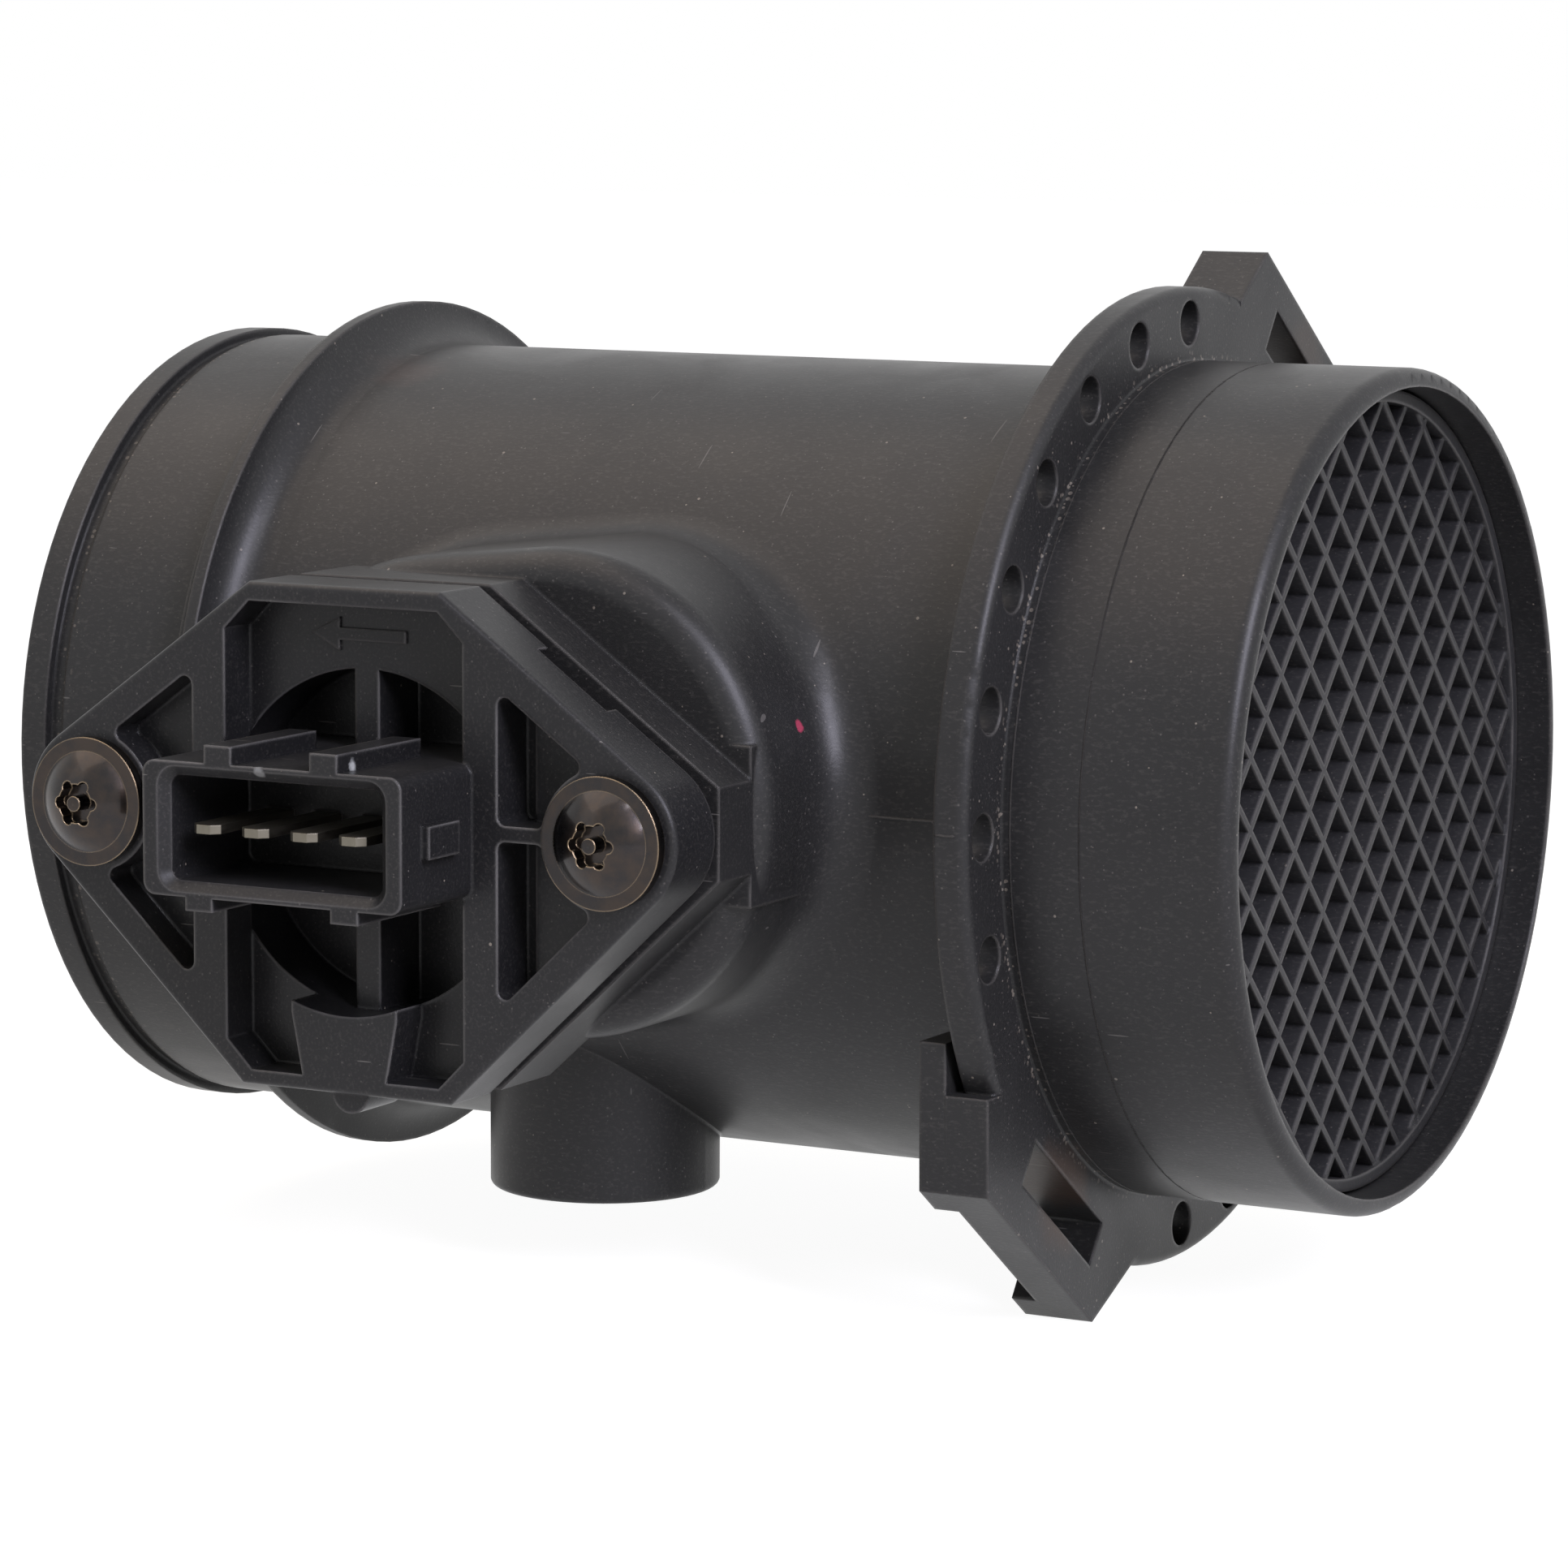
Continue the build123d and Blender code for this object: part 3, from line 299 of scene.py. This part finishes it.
def nylon_skin(material, place, grain, flow, bend, edges, dust, intact):
    """Where each thing shows on a moulded skin, how strong it is, and its colour."""
    fleck = add_node(material, "ShaderNodeMapRange", {
        "Value": grain, "From Min": 0.52, "From Max": 0.72}).outputs["Result"]
    outer = add_node(material, "ShaderNodeMath", {
        0: bend, 1: open_sky(material)}, operation="MULTIPLY")
    worn_and_highlit = add_node(material, "ShaderNodeMath", {
        0: outer.outputs[0], 1: flow}, operation="MULTIPLY").outputs[0]
    scratches = [
        dots(material, place, empty=intact, turn=turn, **SCRATCHES) for turn in SCRATCH_TURNS]
    skin = [
        (fleck, 0.13, "#6b6863"),
        (dots(material, place, **FIBRE_ENDS), 0.22, "#7a7671"),
        # Paler outer edges: partly wear, partly a painted highlight along each edge
        (worn_and_highlit, 0.80, edges),
        (scratches[0], 0.30 * dust, "#85827d"),
        (scratches[1], 0.30 * dust, "#85827d"),
        (dots(material, place, **DUST), 0.45 * dust, "#948c80"),
    ]
    print(material.name, "has", len(skin), "layers on its base")
    return skin


# %% [markdown]
# The function below is the whole recipe.  Its streak stretches the grain along the way that the
# melt flowed, and its marks and corners are the spots and the dusty rings of one moulding.

# %% Moulded nylon
NYLON_IOR, NYLON_SPECULAR = 1.53, 0.22
DARKER, PALER = 0.85, 1.15


# edges is the colour of the outer edges: their wear and a painted highlight along them
def moulded_nylon(name, colour, roughness, streak=(1, 1, 1), dust=1.0, intact=0.965,
                  edges="#66635f", marks=(), corners=()):
    """Satin nylon: fibre grain in colour and bump, slow flow marks, dust, scratches, pale edges
    that are wear and a painted highlight.
    """
    material = emptied(bpy.data.materials.new(name))
    place = add_node(material, "ShaderNodeTexCoord").outputs["Object"]
    # Fibre grain of 0.28 mm, and flow marks 11 mm wide
    along = add_node(material, "ShaderNodeMapping", {"Vector": place, "Scale": streak})
    grain = add_node(material, "ShaderNodeTexNoise", {
        "Vector": along.outputs["Vector"], "Scale": 3.6 / MM, "Detail": 3.0, "Roughness": 0.6,
    }).outputs["Fac"]
    flow = add_node(material, "ShaderNodeTexNoise", {
        "Vector": place, "Scale": 0.09 / MM, "Detail": 4.0, "Roughness": 0.55, "Distortion": 0.6,
    }).outputs["Fac"]
    normal, bend = bent_edge(material, radius_mm=0.5, flat=0.99)

    layers = nylon_skin(material, place, grain, flow, bend, edges, dust, intact)
    layers += [(spot(material, place, *mark[:3]), *mark[3:]) for mark in marks]
    if corners:
        # A sleeve slid on and turned has scratched the tube round its axis
        polar = round_the_tube(material, place)
        layers.append((dots(material, polar, **SLEEVE_SCRATCHES), 0.28, "#7f7c78"))
        layers += [
            (corner_dust(material, place, polar, *corner), 0.50, "#857d72") for corner in corners]
    base = np.array(linear(colour)[:3])
    body = add_node(material, "ShaderNodeMix", {
        "Factor": flow, "A": (*(base * DARKER), 1), "B": (*(base * PALER), 1)}, data_type="RGBA")

    # Flow marks spread the gloss, and a rubbed edge is smoother
    gloss = add_node(material, "ShaderNodeMapRange", {
        "Value": flow, "From Min": 0.3, "From Max": 0.7,
        "To Min": roughness - 0.05, "To Max": roughness + 0.06})
    smoother = add_node(material, "ShaderNodeMath", {
        0: bend, 1: -0.14, 2: gloss.outputs["Result"]}, operation="MULTIPLY_ADD")
    bump = add_node(material, "ShaderNodeBump", {
        "Height": grain, "Strength": 0.35, "Distance": 0.04 * MM, "Normal": normal})
    surface = add_node(material, "ShaderNodeBsdfPrincipled", {
        "Base Color": layered(material, body.outputs["Result"], layers),
        "Roughness": smoother.outputs[0], "IOR": NYLON_IOR,
        "Specular IOR Level": NYLON_SPECULAR, "Normal": bump.outputs["Normal"]})
    add_node(material, "ShaderNodeOutputMaterial", {"Surface": surface.outputs["BSDF"]})
    print(name, "has", len(material.node_tree.nodes), "nodes")
    return material


# %% [markdown]
# ## The four mouldings
#
# The housing has lain under a bonnet for years, and its ears have taken rust from steel clips.
# The cover is handled at every service, so it has the most scratches.  Its edges are painted
# palest, which is their wear and also a painted highlight along them.  The grille and the probe
# sit inside the tube, where little touches them.

# %% Mouldings
# Marks: middle in mm, radius in mm, how ragged, how strong, and the colour
housing_marks = [
    ((-18.7, -41.5, 8.1), 0.9, 0.6, 0.8, "#a03a52"),
    ((-2.2, -25.5, -36.0), 11.0, 0.8, 0.42, "#4a382b"),
    ((-3.4, 25.5, 36.0), 12.0, 0.8, 0.28, "#46362b"),
    ((-78.0, -12.0, 38.5), 9.0, 0.9, 0.22, "#50403a"),
]
cover_marks = [
    ((-46.0, -73.2, 6.4), 1.6, 0.80, 0.8, "#b9bcba"),
    ((-53.4, -75.4, 5.5), 0.9, 0.6, 0.6, "#8a8c8a"),
]
# Ring-shaped corners, as x and radius in mm: both sides of the flange, the bead, the outlet lip
housing_corners = [(0.0, 39.0), (-3.2, 38.0), (-86.9, 38.4), (-101.0, 38.4)]

# Nylon with glass fibre, moulded in a smooth tool: a satin, slightly uneven black
housing_nylon = moulded_nylon("housing_nylon_moulded", "#212121", 0.38, streak=(0.45, 1, 1),
                              marks=housing_marks, corners=housing_corners)
# The same nylon from a finer tool: a shade darker and glossier
# Its paler edge colour paints the highlights along the cover's edges as well as their wear
cover_nylon = moulded_nylon("cover_nylon_moulded", "#1c1c1d", 0.34, dust=1.3, intact=0.88,
                            edges="#8c8a87", marks=cover_marks)
# Nylon without glass, so that the thin lattice fills: a duller and greyer black
grille_nylon = moulded_nylon("grille_nylon_moulded", "#262627", 0.48, streak=(0.5, 1, 1), dust=0.5)
# Polyester, which holds its size in warm air: an even, half matt black
probe_polyester = moulded_nylon("probe_polyester_moulded", "#1f1f20", 0.45, streak=(1, 0.5, 1),
                                dust=0.3)

# %% [markdown]
# ## Dark plated screws
#
# The screws are steel with a dark zinc nickel plating, which has gone brown in blotches.  Its edges
# are painted pale gold: partly the plating rubbed through, partly a painted highlight along them.
# Paint would hide the metal, so the colours are given to a metal, and a thin clear coat over it
# stands for the sealer on the plating.

# %% Screws
def dark_plated_steel(name):
    """Plated steel: two dark browns mixed by slow blotches, pale gold on edges: wear and painted
    highlight.
    """
    material = emptied(bpy.data.materials.new(name))
    place = add_node(material, "ShaderNodeTexCoord").outputs["Object"]
    # Blotches of 2.4 mm and a grain of 0.24 mm
    blotch = add_node(material, "ShaderNodeTexNoise", {
        "Vector": place, "Scale": 0.42 / MM, "Detail": 4.0, "Roughness": 0.6}).outputs["Fac"]
    fine = add_node(material, "ShaderNodeTexNoise", {
        "Vector": place, "Scale": 4.2 / MM, "Detail": 2.0}).outputs["Fac"]
    normal, bend = bent_edge(material, radius_mm=0.25, flat=0.97, strength=0.5)
    spread = add_node(material, "ShaderNodeMapRange", {
        "Value": blotch, "From Min": 0.4, "From Max": 0.62})
    plating = add_node(material, "ShaderNodeMix", {
        "Factor": spread.outputs["Result"], "A": linear("#292626"), "B": linear("#362e29"),
    }, data_type="RGBA")
    # Pale gold on the edges: rubbed plating and a painted highlight along each edge
    colour = add_node(material, "ShaderNodeMix", {
        "Factor": bend, "A": plating.outputs["Result"], "B": linear("#c0a98a"),
    }, data_type="RGBA")
    rough = add_node(material, "ShaderNodeMapRange", {
        "Value": blotch, "From Min": 0.3, "From Max": 0.7, "To Min": 0.24, "To Max": 0.36})
    bump = add_node(material, "ShaderNodeBump", {
        "Height": fine, "Strength": 0.2, "Distance": 0.02 * MM, "Normal": normal})
    surface = add_node(material, "ShaderNodeBsdfPrincipled", {
        "Base Color": colour.outputs["Result"], "Metallic": 1.0,
        "Roughness": rough.outputs["Result"], "Normal": bump.outputs["Normal"],
        "Coat Weight": 0.4, "Coat Roughness": 0.12, "Coat IOR": 1.5})
    add_node(material, "ShaderNodeOutputMaterial", {"Surface": surface.outputs["BSDF"]})
    print(name, "has", len(material.node_tree.nodes), "nodes")
    return material


screw_steel = dark_plated_steel("screw_steel_dark_plated")

# %% [markdown]
# ## Plain metals
#
# The terminals are punched from tinned brass strip, the inserts are turned, the carrier is rolled.
# Each way leaves fine lines in one direction.  The Anisotropic value could give the glint of such
# lines, but not the lines, so a noise that is squeezed one way draws them in gloss and bump.

# %% Plain metals
def plain_metal(name, colour, dull_colour, roughness, streak):
    """Metal with drawn or turned lines: a noise that is long one way, in gloss and bump."""
    material = emptied(bpy.data.materials.new(name))
    place = add_node(material, "ShaderNodeTexCoord").outputs["Object"]
    along = add_node(material, "ShaderNodeMapping", {"Vector": place, "Scale": streak})
    # Lines 0.33 mm apart, drawn as coarse as they need to show, and dull patches of 2 mm
    lines = add_node(material, "ShaderNodeTexNoise", {
        "Vector": along.outputs["Vector"], "Scale": 3.0 / MM, "Detail": 3.0}).outputs["Fac"]
    patches = add_node(material, "ShaderNodeTexNoise", {
        "Vector": place, "Scale": 0.5 / MM, "Detail": 3.0}).outputs["Fac"]
    mixed = add_node(material, "ShaderNodeMix", {
        "Factor": patches, "A": linear(colour), "B": linear(dull_colour)}, data_type="RGBA")
    rough = add_node(material, "ShaderNodeMapRange", {
        "Value": lines, "From Min": 0.3, "From Max": 0.7,
        "To Min": roughness - 0.06, "To Max": roughness + 0.08})
    bevel = add_node(material, "ShaderNodeBevel", {"Radius": 0.12 * MM}, samples=4)
    bump = add_node(material, "ShaderNodeBump", {
        "Height": lines, "Strength": 0.2, "Distance": 0.01 * MM,
        "Normal": bevel.outputs["Normal"]})
    surface = add_node(material, "ShaderNodeBsdfPrincipled", {
        "Base Color": mixed.outputs["Result"], "Metallic": 1.0,
        "Roughness": rough.outputs["Result"], "Normal": bump.outputs["Normal"]})
    add_node(material, "ShaderNodeOutputMaterial", {"Surface": surface.outputs["BSDF"]})
    print(name, "has", len(material.node_tree.nodes), "nodes")
    return material


# Tinned brass, punched: the tin has dulled to a warm grey
terminal_brass = plain_metal("terminal_brass_tinned", "#7b776d", "#5f5a50", 0.40, (1, 0.15, 1))
# Turned brass: yellow, with rings from the tool
insert_brass = plain_metal("insert_brass_turned", "#b08d57", "#8a6a3d", 0.34, (1, 0.2, 1))
# Rolled aluminium: pale, with lines along the sheet
carrier_aluminium = plain_metal("carrier_aluminium_rolled", "#b8babd", "#9fa1a4", 0.38, (0.2, 1, 1))
# Tinned copper: bright, because nothing has touched it
lead_copper = plain_metal("lead_copper_tinned", "#c3bfb6", "#a39b8e", 0.32, (1, 0.2, 1))

# %% [markdown]
# ## Small parts inside the probe
#
# They only show in a cutaway or with the lid off.  A flat colour would do for a diagram, but here
# each gets its usual finish: one noise at its real scale, in its colour, gloss and bump.

# %% Inner finishes
def plain_finish(name, colour, other_colour, roughness, per_mm, bump_mm, ior=1.5,
                 transmission=0.0):
    """A moulded, cast or fired finish: one noise drives its colour, gloss and bump."""
    material = emptied(bpy.data.materials.new(name))
    place = add_node(material, "ShaderNodeTexCoord").outputs["Object"]
    pattern = add_node(material, "ShaderNodeTexNoise", {
        "Vector": place, "Scale": per_mm / MM, "Detail": 3.0}).outputs["Fac"]
    mixed = add_node(material, "ShaderNodeMix", {
        "Factor": pattern, "A": linear(colour), "B": linear(other_colour)}, data_type="RGBA")
    rough = add_node(material, "ShaderNodeMapRange", {
        "Value": pattern, "From Min": 0.3, "From Max": 0.7,
        "To Min": roughness - 0.05, "To Max": roughness + 0.05})
    bump = add_node(material, "ShaderNodeBump", {
        "Height": pattern, "Strength": 0.3, "Distance": bump_mm * MM})
    surface = add_node(material, "ShaderNodeBsdfPrincipled", {
        "Base Color": mixed.outputs["Result"], "Roughness": rough.outputs["Result"], "IOR": ior,
        "Transmission Weight": transmission, "Normal": bump.outputs["Normal"]})
    add_node(material, "ShaderNodeOutputMaterial", {"Surface": surface.outputs["BSDF"]})
    print(name, "has", len(material.node_tree.nodes), "nodes")
    return material


# Two hex colours, the roughness, grains to the millimetre and the height of the bump in mm.
# Nitrile rubber, moulded: a dull black that has taken the fine grain of its tool
ring_rubber = plain_finish("o_ring_nitrile_rubber", "#161616", "#1f1e1d", 0.55, 2.5, 0.02, 1.52)
# Alumina, fired: white, dense and slightly satin
board_ceramic = plain_finish("board_ceramic_fired", "#dcd9d0", "#cfccc2", 0.42, 2.8, 0.01)
# Epoxy with quartz powder, moulded: grey black and half matt
chip_resin = plain_finish("chip_resin_moulded", "#1b1b1c", "#242425", 0.5, 5.0, 0.01)
# Titanate ceramic, fired: tan
capacitor_ceramic = plain_finish("capacitor_ceramic_fired", "#8a6f52", "#9a7f60", 0.45, 4.0, 0.01)
# Thin glass with a metal film: smooth, shiny and greenish grey
film_glass = plain_finish("film_glass_coated", "#9fb0ac", "#8fa39e", 0.08, 2.0, 0.002)
# Silicone gel, cast: clear, wet and wavy
gel_silicone = plain_finish("gel_silicone_cast", "#e8ecec", "#dde4e4", 0.12, 0.3, 0.05, 1.41, 0.9)

# %% [markdown]
# ## Which node wears what
#
# A CAD node's shape is right and stays, so only its material is changed.  The table says which
# node is made of what, by the node's name.

# %% Dress the CAD nodes
finishes = {
    "tube_housing": housing_nylon,
    "flow_grille": grille_nylon,
    "sensor_cover": cover_nylon,
    "cover_o_ring": ring_rubber,
    "probe_blade": probe_polyester,
    "probe_lid": probe_polyester,
    "carrier_plate": carrier_aluminium,
    "circuit_board": board_ceramic,
    "control_chip": chip_resin,
    "board_capacitors": capacitor_ceramic,
    "sensing_film": film_glass,
    "board_leads": lead_copper,
    "sealing_gel": gel_silicone,
    "terminal_1": terminal_brass,
    "terminal_2": terminal_brass,
    "terminal_3": terminal_brass,
    "terminal_4": terminal_brass,
    "cover_screw_left": screw_steel,
    "cover_screw_right": screw_steel,
    "threaded_insert_left": insert_brass,
    "threaded_insert_right": insert_brass,
}
for name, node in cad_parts.items():
    node.data.materials.clear()
    node.data.materials.append(finishes[name])
print("dressed", len(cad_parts), "nodes")

# %% [markdown]
# ## From points to a piece
#
# A shape that is worked out as a grid of points needs only two things to become a mesh: the
# points in metres, and which four of them make each face.  The piece then rides on the part's one
# body and names the slot that it takes its finish from.

# %% Pieces
def grid_faces(rows, columns, wrap=False):
    """Corner numbers of a grid's quads: each joins a point to the next along both ways."""
    across = columns if wrap else columns - 1
    r, c = np.meshgrid(np.arange(rows - 1), np.arange(across), indexing="ij")
    n = (c + 1) % columns
    here, beyond = r * columns, (r + 1) * columns
    return np.stack((here + c, here + n, beyond + n, beyond + c), -1).reshape(-1, 4)


def make_piece(name, points_mm, faces, material):
    """A mesh object at the origin, from points in millimetres and faces as lists of corners."""
    points = np.asarray(points_mm, float).reshape(-1, 3) * MM
    mesh = bpy.data.meshes.new(name)
    mesh.from_pydata(points.tolist(), [], faces)
    mesh.shade_smooth()
    mesh.materials.append(material)
    piece = bpy.data.objects.new(name, mesh)
    bpy.context.scene.collection.objects.link(piece)
    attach(piece, "root")
    print(f"{name}: {len(mesh.polygons)} faces")
    return piece


print("a grid of 3 by 4 points has", len(grid_faces(3, 4)), "faces")

# %% [markdown]
# ## Mould lines
#
# The housing's mould opens up and down, so a fine parting line runs along the tube at half its
# height.  Inserts of the tool leave fine rings round the inlet spigot.  A bump could draw them,
# but only in the render, and they belong to the mesh.  All of them are one shape: a flat ellipse
# swept along a path, with its middle in the surface so that half of it shows.

# %% Swept lines
SECTION_POINTS = 10


def swept(path, out, across, height, width):
    """Points of path + width * cos(t) * across + height * sin(t) * out, with t once around."""
    t = np.linspace(0, 2 * np.pi, SECTION_POINTS, endpoint=False)[None, :, None]
    wide = np.cos(t) * across[:, None, :] * np.reshape(width, (-1, 1, 1))
    high = np.sin(t) * out[:, None, :] * np.reshape(height, (-1, 1, 1))
    return path[:, None, :] + wide + high


print("points round a line:", SECTION_POINTS)

# %% [markdown]
# A parting line is straight, but the two halves of a tool never meet quite evenly, so it wavers by
# two hundredths of a millimetre.  It fades out at both ends.

# %% Parting lines
BODY_R, FLANGE_R = 38.0, 45.8
PARTING_HEIGHT, PARTING_WIDTH = 0.09, 0.13
WAVER, WAVER_RADIANS = 0.02, 9
FADE_SHARE, TIP = 12, 0.002
PARTING_STEPS = 40


def parting_line(name, x_from, x_to, radius, side):
    """Ridge along the tube at half height, on the side y = side * radius.

    With u from 0 to 1, x is x_from + u * (x_to - x_from) and z is 0.02 * sin(9 * u).  The height
    and width shrink to a tip within a twelfth of the length at both ends.
    """
    u = np.linspace(0, 1, PARTING_STEPS)
    fade = np.clip(np.minimum(u, 1 - u) * FADE_SHARE, TIP, 1)
    path = np.stack((x_from + u * (x_to - x_from), np.full(PARTING_STEPS, side * radius),
                     WAVER * np.sin(WAVER_RADIANS * u)), -1)
    out = np.tile((0.0, side, 0.0), (PARTING_STEPS, 1))
    across = np.tile((0.0, 0.0, 1.0), (PARTING_STEPS, 1))
    points = swept(path, out, across, PARTING_HEIGHT * fade, PARTING_WIDTH * fade)
    # On the other side the section runs the other way round, so the corners' order turns too
    faces = grid_faces(PARTING_STEPS, SECTION_POINTS, wrap=True)[:, ::side].tolist()
    make_piece(name, points, faces, housing_nylon)


parting_line("parting_line_front", -17.4, -3.3, BODY_R, -1)
parting_line("parting_line_back", -79.5, -7.2, BODY_R, 1)
parting_line("parting_line_flange_front", -3.1, -1.0, FLANGE_R, -1)
parting_line("parting_line_flange_back", -3.1, -1.0, FLANGE_R, 1)

# %% [markdown]
# The rings go once round the inlet spigot: a raised one at its root, and a much flatter one where
# an insert of the tool ended.  A torus would give the same ring with a round section, but these
# are low and wide, so the same sweep makes them.

# %% Rings on the spigot
INLET_R, RING_WIDTH = 39.0, 0.10
RING_STEPS = 361


def ring_line(name, x, height):
    """Fine ring round the spigot at station x: the path is (x, r cos a, r sin a)."""
    a = np.linspace(0, 2 * np.pi, RING_STEPS)
    out = np.stack((np.zeros(RING_STEPS), np.cos(a), np.sin(a)), -1)
    path = out * INLET_R + np.array((x, 0, 0))
    across = np.tile((1.0, 0.0, 0.0), (RING_STEPS, 1))
    points = swept(path, out, across, height, RING_WIDTH)
    faces = grid_faces(RING_STEPS, SECTION_POINTS, wrap=True).tolist()
    make_piece(name, points, faces, housing_nylon)


ring_line("spigot_root_line", 0.9, height=0.05)
ring_line("spigot_insert_line", 7.6, height=0.015)

# %% [markdown]
# ## Flow arrow
#
# The arrow on the floor of the window shows which way the air goes, from the grille to the far
# end.  It stands a quarter of a millimetre proud of that floor, as a tool's engraving leaves it.
# A bump could draw it, but only in the render.  So it is an outline with a flat top and straight
# sides, and its foot is sunk into the floor.

# %% Flow arrow
FLOOR_Y, ARROW_RISE, ARROW_SINK = -60.0, 0.25, 0.1
# x and z of the corners, from the point of the arrow round its head and shaft
arrow = np.array([(-57.9, 16.1), (-54.9, 17.6), (-54.9, 16.65), (-48.0, 16.65),
                  (-48.0, 15.55), (-54.9, 15.55), (-54.9, 14.6)])
corners = len(arrow)
front = np.insert(arrow, 1, FLOOR_Y - ARROW_RISE, axis=1)
back = np.insert(arrow, 1, FLOOR_Y + ARROW_SINK, axis=1)
ring = np.arange(corners)
after = (ring + 1) % corners
sides = np.stack((after, after + corners, ring + corners, ring), -1)
arrow_faces = [ring[::-1].tolist(), (ring + corners).tolist(), *sides.tolist()]
flow_arrow = make_piece(
    "flow_arrow", np.concatenate((front, back)), arrow_faces, cover_nylon)
flow_arrow.data.shade_flat()

# %% [markdown]
# ## Floor
#
# The part stands on pale paper.  Light enough to burn the paper white would burn the part's own
# edges too.  So the paper glows a little where the camera or a gloss sees it, by a Light Path
# node, and it stays plain paper for the light, so it keeps the part's shadow.

# %% Floor
FLOOR_REACH_MM, FLOOR_POINTS = 3000, 13
PAPER_GLOW, GLOW_SHARE = 1.42, 0.66


def ray_of(owner, *kinds):
    """1 for a ray of one of these kinds and 0 for any other: the highest of their outputs."""
    rays = add_node(owner, "ShaderNodeLightPath").outputs
    highest = rays[kinds[0]]
    for kind in kinds[1:]:
        highest = add_node(owner, "ShaderNodeMath", {
            0: highest, 1: rays[kind]}, operation="MAXIMUM").outputs[0]
    return highest


reach = np.linspace(-FLOOR_REACH_MM, FLOOR_REACH_MM, FLOOR_POINTS)
u, v = np.meshgrid(reach, reach, indexing="ij")
floor_points = np.stack((u, v, np.full_like(u, cad_low.z / MM)), -1).reshape(-1, 3) * MM
floor_faces = grid_faces(FLOOR_POINTS, FLOOR_POINTS)[:, ::-1]
floor_mesh = bpy.data.meshes.new("studio_floor")
floor_mesh.from_pydata(floor_points.tolist(), [], floor_faces.tolist())
floor = bpy.data.objects.new("studio_floor", floor_mesh)
bpy.context.scene.collection.objects.link(floor)

# Matt paper: an even, nearly white floor without gloss
floor_paper = emptied(bpy.data.materials.new("studio_floor_paper"))
paper = add_node(floor_paper, "ShaderNodeBsdfDiffuse", {"Color": linear("#f2f2f2")})
glow = add_node(floor_paper, "ShaderNodeEmission", {
    "Color": linear("#ffffff"), "Strength": PAPER_GLOW})
share = add_node(floor_paper, "ShaderNodeMath", {
    0: ray_of(floor_paper, "Is Camera Ray", "Is Glossy Ray"), 1: GLOW_SHARE},
    operation="MULTIPLY")
floor_mix = add_node(floor_paper, "ShaderNodeMixShader", {
    0: share.outputs[0], 1: paper.outputs["BSDF"], 2: glow.outputs["Emission"]})
add_node(floor_paper, "ShaderNodeOutputMaterial", {"Surface": floor_mix.outputs["Shader"]})
floor_mesh.materials.append(floor_paper)
print("floor at", round(cad_low.z / MM, 2), "mm")

# %% [markdown]
# ## Light tent
#
# The world is white all round for the camera, for gloss and for glass, so the background comes
# out white and black nylon mirrors a white room.  As a light it is much weaker, because a tent
# that lights as much as it shows would wash the blacks out.

# %% World
TENT_LIGHT, TENT_SEEN = 0.22, 1.0
world = emptied(bpy.data.worlds.new("light_tent"))
bpy.context.scene.world = world
seen = ray_of(world, "Is Camera Ray", "Is Glossy Ray", "Is Transmission Ray")
level = add_node(world, "ShaderNodeMapRange", {
    "Value": seen, "To Min": TENT_LIGHT, "To Max": TENT_SEEN})
tent = add_node(world, "ShaderNodeBackground", {
    "Color": linear("#ffffff"), "Strength": level.outputs["Result"]})
add_node(world, "ShaderNodeOutputWorld", {"Surface": tent.outputs["Background"]})
print("tent:", TENT_SEEN, "as seen and", TENT_LIGHT, "as a light")

# %% [markdown]
# ## Soft boxes
#
# Four rectangular lamps give the black nylon its long quiet reflections.  Point lamps would leave
# hard dots of light on a satin tube, so each lamp is a surface, aimed at the middle of the part.
# The one from the right is the brightest, because it draws the edges that face the inlet.

# %% Soft boxes
middle = (cad_low + cad_high) / 2


def soft_box(name, direction, distance, width, height, watts, colour):
    """A rectangular lamp at a distance from the object's middle, facing it."""
    lamp = bpy.data.lights.new(name, "AREA")
    lamp.shape, lamp.size, lamp.size_y = "RECTANGLE", width, height
    lamp.energy, lamp.color = watts, linear(colour)[:3]
    box = bpy.data.objects.new(name, lamp)
    way = Vector(direction).normalized()
    facing = way.to_track_quat("Z", "Y").to_matrix().to_4x4()
    box.matrix_world = Matrix.Translation(middle + way * distance) @ facing
    bpy.context.scene.collection.objects.link(box)
    print(name, "gives", watts, "W from", distance, "m")


# Which way from the middle, then distance, width and height in metres, watts and colour
soft_box("box_above", (-0.5, -0.2, 1.0), 0.8, 0.9, 0.6, 2.7, "#ffead8")
soft_box("box_front", (-0.8, -1.0, 0.5), 0.9, 0.4, 0.6, 0.3, "#ffffff")
soft_box("box_right", (0.72, -0.46, 0.54), 0.8, 0.22, 0.4, 7.0, "#eeecff")
soft_box("box_edge", (0.35, -0.44, 0.83), 0.8, 0.2, 0.15, 1.2, "#f4f2ff")

# %% [markdown]
# ## Finish
#
# The view transform stays plain, so that a colour comes out as it was written.  Only the parting
# line on the flange stands out of the CAD's box, by a tenth of a millimetre.

# %% Finish
bpy.context.scene.view_settings.view_transform = "Standard"
